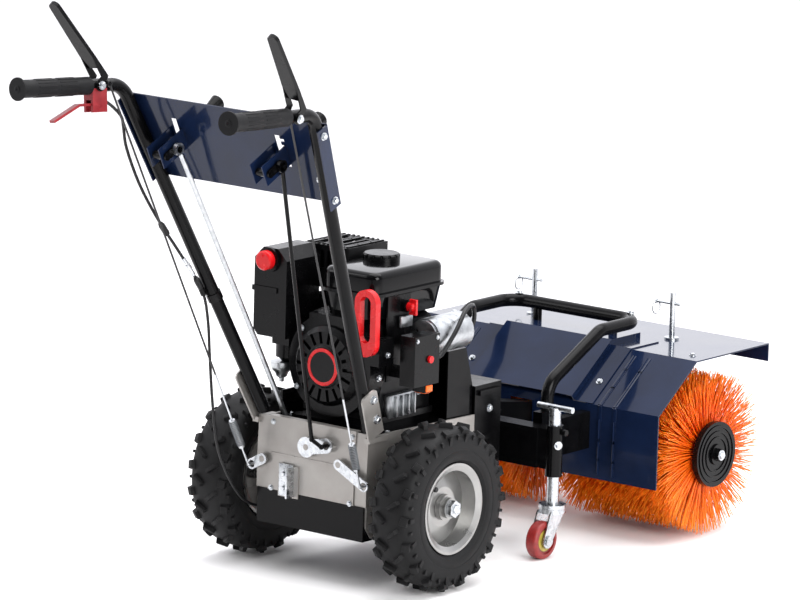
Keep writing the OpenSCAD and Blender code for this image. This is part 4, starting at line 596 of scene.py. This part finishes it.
# Wheel hubs: a nut, and a rubber valve on the disc
hub = dict(nut=(9, 5), valve=(46, 44),
           outline=((0, -1), (8.5, -1), (8.5, 2), (5.5, 5), (4.6, 20), (5.2, 20.4), (5.2, 27), (4.4, 28), (0, 28)))
for side, sign in (("Left", -1), ("Right", 1)):
    bm = bmesh.new()
    axleY, axleZ = tyre["axleY"], tyre["axleZ"]
    out = axisX * sign
    place, normal = meet("axle", (sign * 400, axleY, axleZ), (-sign, 0, 0))
    addBolt(bm, place - out * bolt["sink"] * mm, out, hub["nut"][0] * mm, hub["nut"][1] * mm, washer=False)
    newPiece("hubNut" + side, bm, zincPlate, "wheel_" + side.lower(), 30)
    place, normal = meet("rim_" + side.lower(), (sign * 400, axleY - hub["valve"][0], axleZ + hub["valve"][1]),
                         (-sign, 0, 0))
    turned("tyreValve" + side, hub["outline"], place, out, cableJacket, "wheel_" + side.lower(), 20, 40)
print("fasteners set")

# Plain badge with a red ring on the recoil cover, and the fuel bowl under the air box
recoil = dict(badge=((0, -0.3), (36, -0.3), (36, 1.6), (35, 2.4), (0, 2.4)),
              ring=((29.5, 1), (36.4, 1), (36.4, 2.2), (35.6, 3), (30.3, 3), (29.5, 2.2), (29.5, 1)))
fuelBowl = dict(x=-162, y=-130,
                outline=((0, -40), (5, -40), (5, -33), (11, -29), (13, -22), (20, -16), (23, -8), (23, 0.3), (0, 0.3)))
place, normal = meet("recoil_cover", (0, -400, 414), (0, 1, 0))
turned("recoilBadge", recoil["badge"], place, normal, mouldedBlack, "tractor")
turned("recoilRing", recoil["ring"], place, normal, redMoulding, "tractor", 64)
place, normal = meet("air_box", (fuelBowl["x"], fuelBowl["y"], 200), (0, 0, 1))
turned("fuelBowl", fuelBowl["outline"], at(fuelBowl["x"], fuelBowl["y"], 0) + axisZ * place.z, (0, 0, 1), bareAlloy,
       "tractor")

# Boots and a zinc adjuster threaded on the steering cable, each at its height
bootOutline = ((3, -15), (5, -15), (6.4, -10), (6.4, 8), (4.6, 14), (3.6, 15), (3, 15), (3, -15))
adjusterOutline = ((3, -22), (4.2, -22), (4.2, -7), (5.4, -6), (5.4, 6), (4.2, 7), (4.2, 22), (3, 22), (3, -22))
cableLine = smoothLine(cableRun["points"])


# The cable's point nearest a height, with the way up along it
def cableSpot(height):
    k = min(range(1, len(cableLine) - 1), key=lambda i: abs(cableLine[i].z - height * mm))
    return cableLine[k], (cableLine[k - 1] - cableLine[k + 1]).normalized()


for name, height, outline, finish, slotName in (("cableBootHigh", 700, bootOutline, cableJacket, "lead_rubber"),
                                                ("cableAdjuster", 612, adjusterOutline, zincPlate, "zinc"),
                                                ("cableBootLow", 578, bootOutline, cableJacket, "lead_rubber")):
    place, way = cableSpot(height)
    turned(name, outline, place, way, finish, "tractor", 20)


# A block with rounded edges
def softBlock(bm, size, place, soft):
    made = bmesh.ops.create_cube(bm, size=1)["verts"]
    bmesh.ops.scale(bm, vec=Vector(size) * mm, verts=made)
    edges = list({e for v in made for e in v.link_edges})
    rounded = bmesh.ops.bevel(bm, geom=edges, offset=soft * mm, affect="EDGES", segments=2, profile=0.5, material=-1)
    block = list({v for v in made if v.is_valid} | set(rounded["verts"]))
    bmesh.ops.translate(bm, vec=at(*place), verts=block)


# A flat bar that follows a line of places on a face
def beadAlong(bm, places, wide, tall):
    for a, b in zip(places, places[1:]):
        way = b - a
        made = bmesh.ops.create_cube(bm, size=1)["verts"]
        bmesh.ops.scale(bm, vec=(wide * mm, tall * mm, way.length + 0.6 * wide * mm), verts=made)
        edges = [e for e in {e for v in made for e in v.link_edges}
                 if abs(e.verts[0].co.z - e.verts[1].co.z) > tall * mm]
        rounded = bmesh.ops.bevel(bm, geom=edges, offset=min(wide, tall) * 0.35 * mm, affect="EDGES", segments=2,
                                  profile=0.5, material=-1)
        block = list({v for v in made if v.is_valid} | set(rounded["verts"]))
        bmesh.ops.transform(bm, matrix=stand((a + b) / 2, way.normalized()), verts=block)


# Two rows of long ribs and an end hole on each hand grip
grip = dict(inner=(238.846, -631.004, 978.694), outer=(253.539, -813.029, 990.528), radius=17, ribs=14,
            rib=(2.6, 46, 1.6), ribRound=0.6, rows=(62, 118),
            end=((3.2, -0.4), (7, -0.4), (7, 0.7), (6.2, 1.2), (3.8, 1.2), (3.2, 0.5), (3.2, -0.4)))
for side, sign in (("Right", 1), ("Left", -1)):
    inner, outer = at(sign * grip["inner"][0], *grip["inner"][1:]), at(sign * grip["outer"][0], *grip["outer"][1:])
    way = (outer - inner).normalized()
    wide, tall, thick = grip["rib"]
    bm = bmesh.new()
    for start in grip["rows"]:
        ring = bmesh.new()
        made = bmesh.ops.create_cube(ring, size=1)["verts"]
        bmesh.ops.scale(ring, vec=(wide * mm, thick * mm, tall * mm), verts=made)
        bmesh.ops.bevel(ring, geom=ring.edges[:], offset=grip["ribRound"] * mm, affect="EDGES", segments=2, profile=0.5,
                        material=-1)
        bmesh.ops.translate(ring, vec=(0, grip["radius"] * mm, start * mm), verts=ring.verts)
        bmesh.ops.spin(ring, geom=ring.verts[:] + ring.edges[:] + ring.faces[:], cent=(0, 0, 0), axis=(0, 0, 1),
                       angle=math.tau, steps=grip["ribs"], use_duplicate=True)
        bmesh.ops.remove_doubles(ring, verts=ring.verts, dist=1e-6)
        addMesh(bm, ring)
    bmesh.ops.transform(bm, matrix=stand(inner, way), verts=bm.verts)
    newPiece("gripRibs" + side, bm, gripRubber, "tractor", 40)
    turned("gripEnd" + side, grip["end"], outer, way, gripRubber, "tractor", 32)

# Louvred guard over the silencer: bars with gaps between them
guard = dict(first=-156, step=12, bars=9, rows=(-62, -30, 10, 46), lift=1.2, bar=(6, 3))
guardBars = bmesh.new()
for k in range(guard["bars"]):
    places = []
    for y in guard["rows"]:
        place, normal = meet("muffler", (guard["first"] + k * guard["step"], y, 800), (0, 0, -1))
        if place is not None:
            places.append(place + axisZ * guard["lift"] * mm)
    if len(places) > 1:
        beadAlong(guardBars, places, *guard["bar"])
newPiece("silencerGuard", guardBars, blackPowder, "tractor")

# Pressed beads: down the hood beside the centre cover, and across the rear cover
hoodBead = dict(columns=(196, 232), levels=(352, 330, 300, 270, 240, 200, 160, 132), lift=0.3, bar=(9, 2.4))
hoodBeads = bmesh.new()
for sx in (1, -1):
    for x in hoodBead["columns"]:
        places = []
        for z in hoodBead["levels"]:
            place, normal = meet("hood", (sx * x, 200, z), (0, 1, 0))
            if place is not None:
                places.append(place + normal * hoodBead["lift"] * mm)
        beadAlong(hoodBeads, places, *hoodBead["bar"])
newPiece("hoodBeads", hoodBeads, navyEnamel, "deck")
rearBead = dict(level=236, columns=(-98, -40, 40, 98), bar=(3.4, 1.6))
coverBead = bmesh.new()
places = [meet("rear_cover", (x, -400, rearBead["level"]), (0, 1, 0))[0] for x in rearBead["columns"]]
beadAlong(coverBead, [p for p in places if p is not None], *rearBead["bar"])
newPiece("coverBead", coverBead, greyEnamel, "tractor")

# Zinc cable bracket low on the rear cover: a plate, a flange and two bolts, with y measured from the cover
bracket = dict(spot=(-56, 190), plate=(34, 5, 64), plateAt=(-56, -2, 188), plateSoft=1.6,
               flange=(5, 22, 60), flangeAt=(-41, -10, 186), flangeSoft=1.4,
               boltAt=((-60, -4.4, 172), (-60, -4.4, 200)), head=(5, 4.5))
bracketBm = bmesh.new()
place, normal = meet("rear_cover", (bracket["spot"][0], -400, bracket["spot"][1]), (0, 1, 0))
wall = place.y / mm
for block in ("plate", "flange"):
    x, y, z = bracket[block + "At"]
    softBlock(bracketBm, bracket[block], (x, wall + y, z), bracket[block + "Soft"])
for x, y, z in bracket["boltAt"]:
    addBolt(bracketBm, at(x, wall + y, z), -axisY, bracket["head"][0] * mm, bracket["head"][1] * mm)
newPiece("cableBracket", bracketBm, zincPlate, "tractor", 30)

# Bare alloy side of the crankcase under the starter box, with cast ribs; out is measured from the crankcase
sump = dict(spot=(-80, 335), level=338, plate=(16, 84, 46), plateOut=7, plateY=-84, plateSoft=4,
            rib=(10, 4, 40), ribOut=17, ribY=(-112, -93, -74, -55), ribSoft=1.4)
sumpBm = bmesh.new()
place, normal = meet("crankcase", (400, *sump["spot"]), (-1, 0, 0))
wall = place.x / mm
softBlock(sumpBm, sump["plate"], (wall + sump["plateOut"], sump["plateY"], sump["level"]), sump["plateSoft"])
for y in sump["ribY"]:
    softBlock(sumpBm, sump["rib"], (wall + sump["ribOut"], y, sump["level"]), sump["ribSoft"])
newPiece("crankSide", sumpBm, bareAlloy, "tractor", 40)

# Clip that ties the steering cable to the left tube: a band on the tube, a band on the cable, a web between
clip = dict(height=548, lift=6, tall=16, tube=15.2, cable=6, web=(7, 11))
tubeRun = ((-143.014, -263.585, 400), (-173.975, -360.985, 600))
tubeLow, tubeHigh = at(*tubeRun[0]), at(*tubeRun[1])
tubeWay = (tubeHigh - tubeLow).normalized()
tubeSpot = tubeLow + (tubeHigh - tubeLow) * (clip["height"] - tubeRun[0][2]) / (tubeRun[1][2] - tubeRun[0][2])
cableAt, cableWay = cableSpot(clip["height"] + clip["lift"])
clipBm = bmesh.new()
for middle, way, radius in ((tubeSpot, tubeWay, clip["tube"]), (cableAt, cableWay, clip["cable"])):
    bmesh.ops.create_cone(clipBm, cap_ends=True, segments=28, radius1=radius * mm, radius2=radius * mm,
                          depth=clip["tall"] * mm, matrix=stand(middle, way))
web = cableAt - tubeSpot
bmesh.ops.create_cube(clipBm, size=1, matrix=stand(tubeSpot + web / 2, web.normalized())
                      @ Matrix.Diagonal((clip["web"][0] * mm, clip["web"][1] * mm, web.length, 1)))
newPiece("cableClip", clipBm, mouldedBlack, "tractor", 40)

# Pressed lid of the fuel tank, rounded over the top
lid = dict(size=(134.4, 220.4, 40.2), place=(32, -64.7, 584.1), corner=23.5, crown=13)
lidBm = bmesh.new()
bmesh.ops.create_cube(lidBm, size=1)
bmesh.ops.scale(lidBm, vec=Vector(lid["size"]) * mm, verts=lidBm.verts)
upright = [e for e in lidBm.edges if abs(e.verts[0].co.z - e.verts[1].co.z) > mm]
bmesh.ops.bevel(lidBm, geom=upright, offset=lid["corner"] * mm, affect="EDGES", segments=8, profile=0.5, material=-1)
brim = [e for e in lidBm.edges if min(v.co.z for v in e.verts) > mm]
bmesh.ops.bevel(lidBm, geom=brim, offset=lid["crown"] * mm, affect="EDGES", segments=6, profile=0.5, material=-1)
bmesh.ops.translate(lidBm, vec=at(*lid["place"]), verts=lidBm.verts)
newPiece("tankLid", lidBm, tankLacquer, "tractor", 40)

# Recoil rope: runs from the guide to the grip, cut into short rings along its length
rope = dict(radius=2.6, x=104, inside=-184, grip=-204, z=463.5, cuts=24)
ropeBm = bmesh.new()
bmesh.ops.create_cone(ropeBm, cap_ends=True, segments=14, radius1=rope["radius"] * mm, radius2=rope["radius"] * mm,
                      depth=(rope["inside"] - rope["grip"]) * mm,
                      matrix=stand(at(rope["x"], (rope["inside"] + rope["grip"]) / 2, rope["z"]), -axisY))
lengths = [e for e in ropeBm.edges if e.calc_length() > rope["radius"] * 2 * mm]
bmesh.ops.subdivide_edges(ropeBm, edges=lengths, cuts=rope["cuts"])
recoilRope = newPiece("recoilRope", ropeBm, nylonRope, None, 40)
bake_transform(recoilRope)

# Bare alloy bracket under the ignition key
keyBracket = dict(size=(7, 36, 22), place=(110.5, -92, 504), soft=2)
keyBm = bmesh.new()
softBlock(keyBm, **keyBracket)
newPiece("keyBracket", keyBm, bareAlloy, "tractor", 40)

# Orange mains inlet under the starter box: its face and its sole
inletPlug = dict(face=dict(size=(5, 19, 13), place=(173.5, -95.7, 382), soft=1.4),
                 sole=dict(size=(26, 18, 3), place=(158, -95.7, 373.5), soft=1))
inletBm = bmesh.new()
for block in inletPlug.values():
    softBlock(inletBm, **block)
newPiece("inletPlug", inletBm, orangeMoulding, "tractor", 40)

# Pivot bolts of the two hand levers
pivot = dict(place=(237.401, -613.1, 977.53), way=(0.990366, 0.0722654, -0.118123), out=19.6, head=(6, 4.5))
pivots = bmesh.new()
for sign in (1, -1):
    way, middle = Vector(pivot["way"]), at(*pivot["place"])
    way.x, middle.x = sign * way.x, sign * middle.x
    for k in (1, -1):
        addBolt(pivots, middle + way * k * pivot["out"] * mm, way * k, pivot["head"][0] * mm, pivot["head"][1] * mm)
newPiece("leverPivots", pivots, zincPlate, "tractor", 30)
print("trim fitted")

# Paper floor
floorMesh = bpy.data.meshes.new("studioFloor")
bm = bmesh.new()
bmesh.ops.create_grid(bm, x_segments=1, y_segments=1, size=40)
bm.to_mesh(floorMesh)
bm.free()
floor = bpy.data.objects.new("studioFloor", floorMesh)
scene.collection.objects.link(floor)
paper = mottled("floorPaper", ("#f7f5f4", "#fcfbfb"), 900, (0.55, 0.7), 4, 0.02, 0.1, **{"IOR": 1.4})
floorMesh.materials.append(paper)
# A white wall behind the machine, darker room behind the viewer
backdrop = dict(toward=(-0.58, 0.76, 0.3), dim=0.16, bright=1.85)
world = bpy.data.worlds.new("studioWhite")
world.use_nodes = True
sky = world.node_tree.nodes["Background"]
sky.inputs["Color"].default_value = linearColour("#f6f6fb")
facing = addNode(world.node_tree, "ShaderNodeVectorMath", {1: backdrop["toward"]},
                 {0: addNode(world.node_tree, "ShaderNodeTexCoord").outputs["Generated"]}, operation="DOT_PRODUCT")
glow = addNode(world.node_tree, "ShaderNodeMapRange",
               {"From Min": -0.5, "From Max": 0.7, "To Min": backdrop["dim"], "To Max": backdrop["bright"]},
               {"Value": facing.outputs["Value"]}, interpolation_type="SMOOTHSTEP")
world.node_tree.links.new(glow.outputs["Result"], sky.inputs["Strength"])
scene.world = world
# Soft lamps: place, aim, size and power
lamps = dict(overhead=((0.3, 0.6, 3.6), (0, 0.1, 0.3), 3.6, 150), key=((-3.4, -3.2, 3.0), (0, 0, 0.5), 2.2, 60),
             fill=((4.2, -1.2, 2.0), (0, 0.3, 0.3), 2.4, 200))
for name, (place, aim, size, power) in lamps.items():
    data = bpy.data.lights.new(name, "AREA")
    data.size, data.energy = size, power
    lamp = bpy.data.objects.new(name, data)
    lamp.matrix_world = stand(Vector(place), (Vector(place) - Vector(aim)).normalized())
    scene.collection.objects.link(lamp)
print("studio lit")
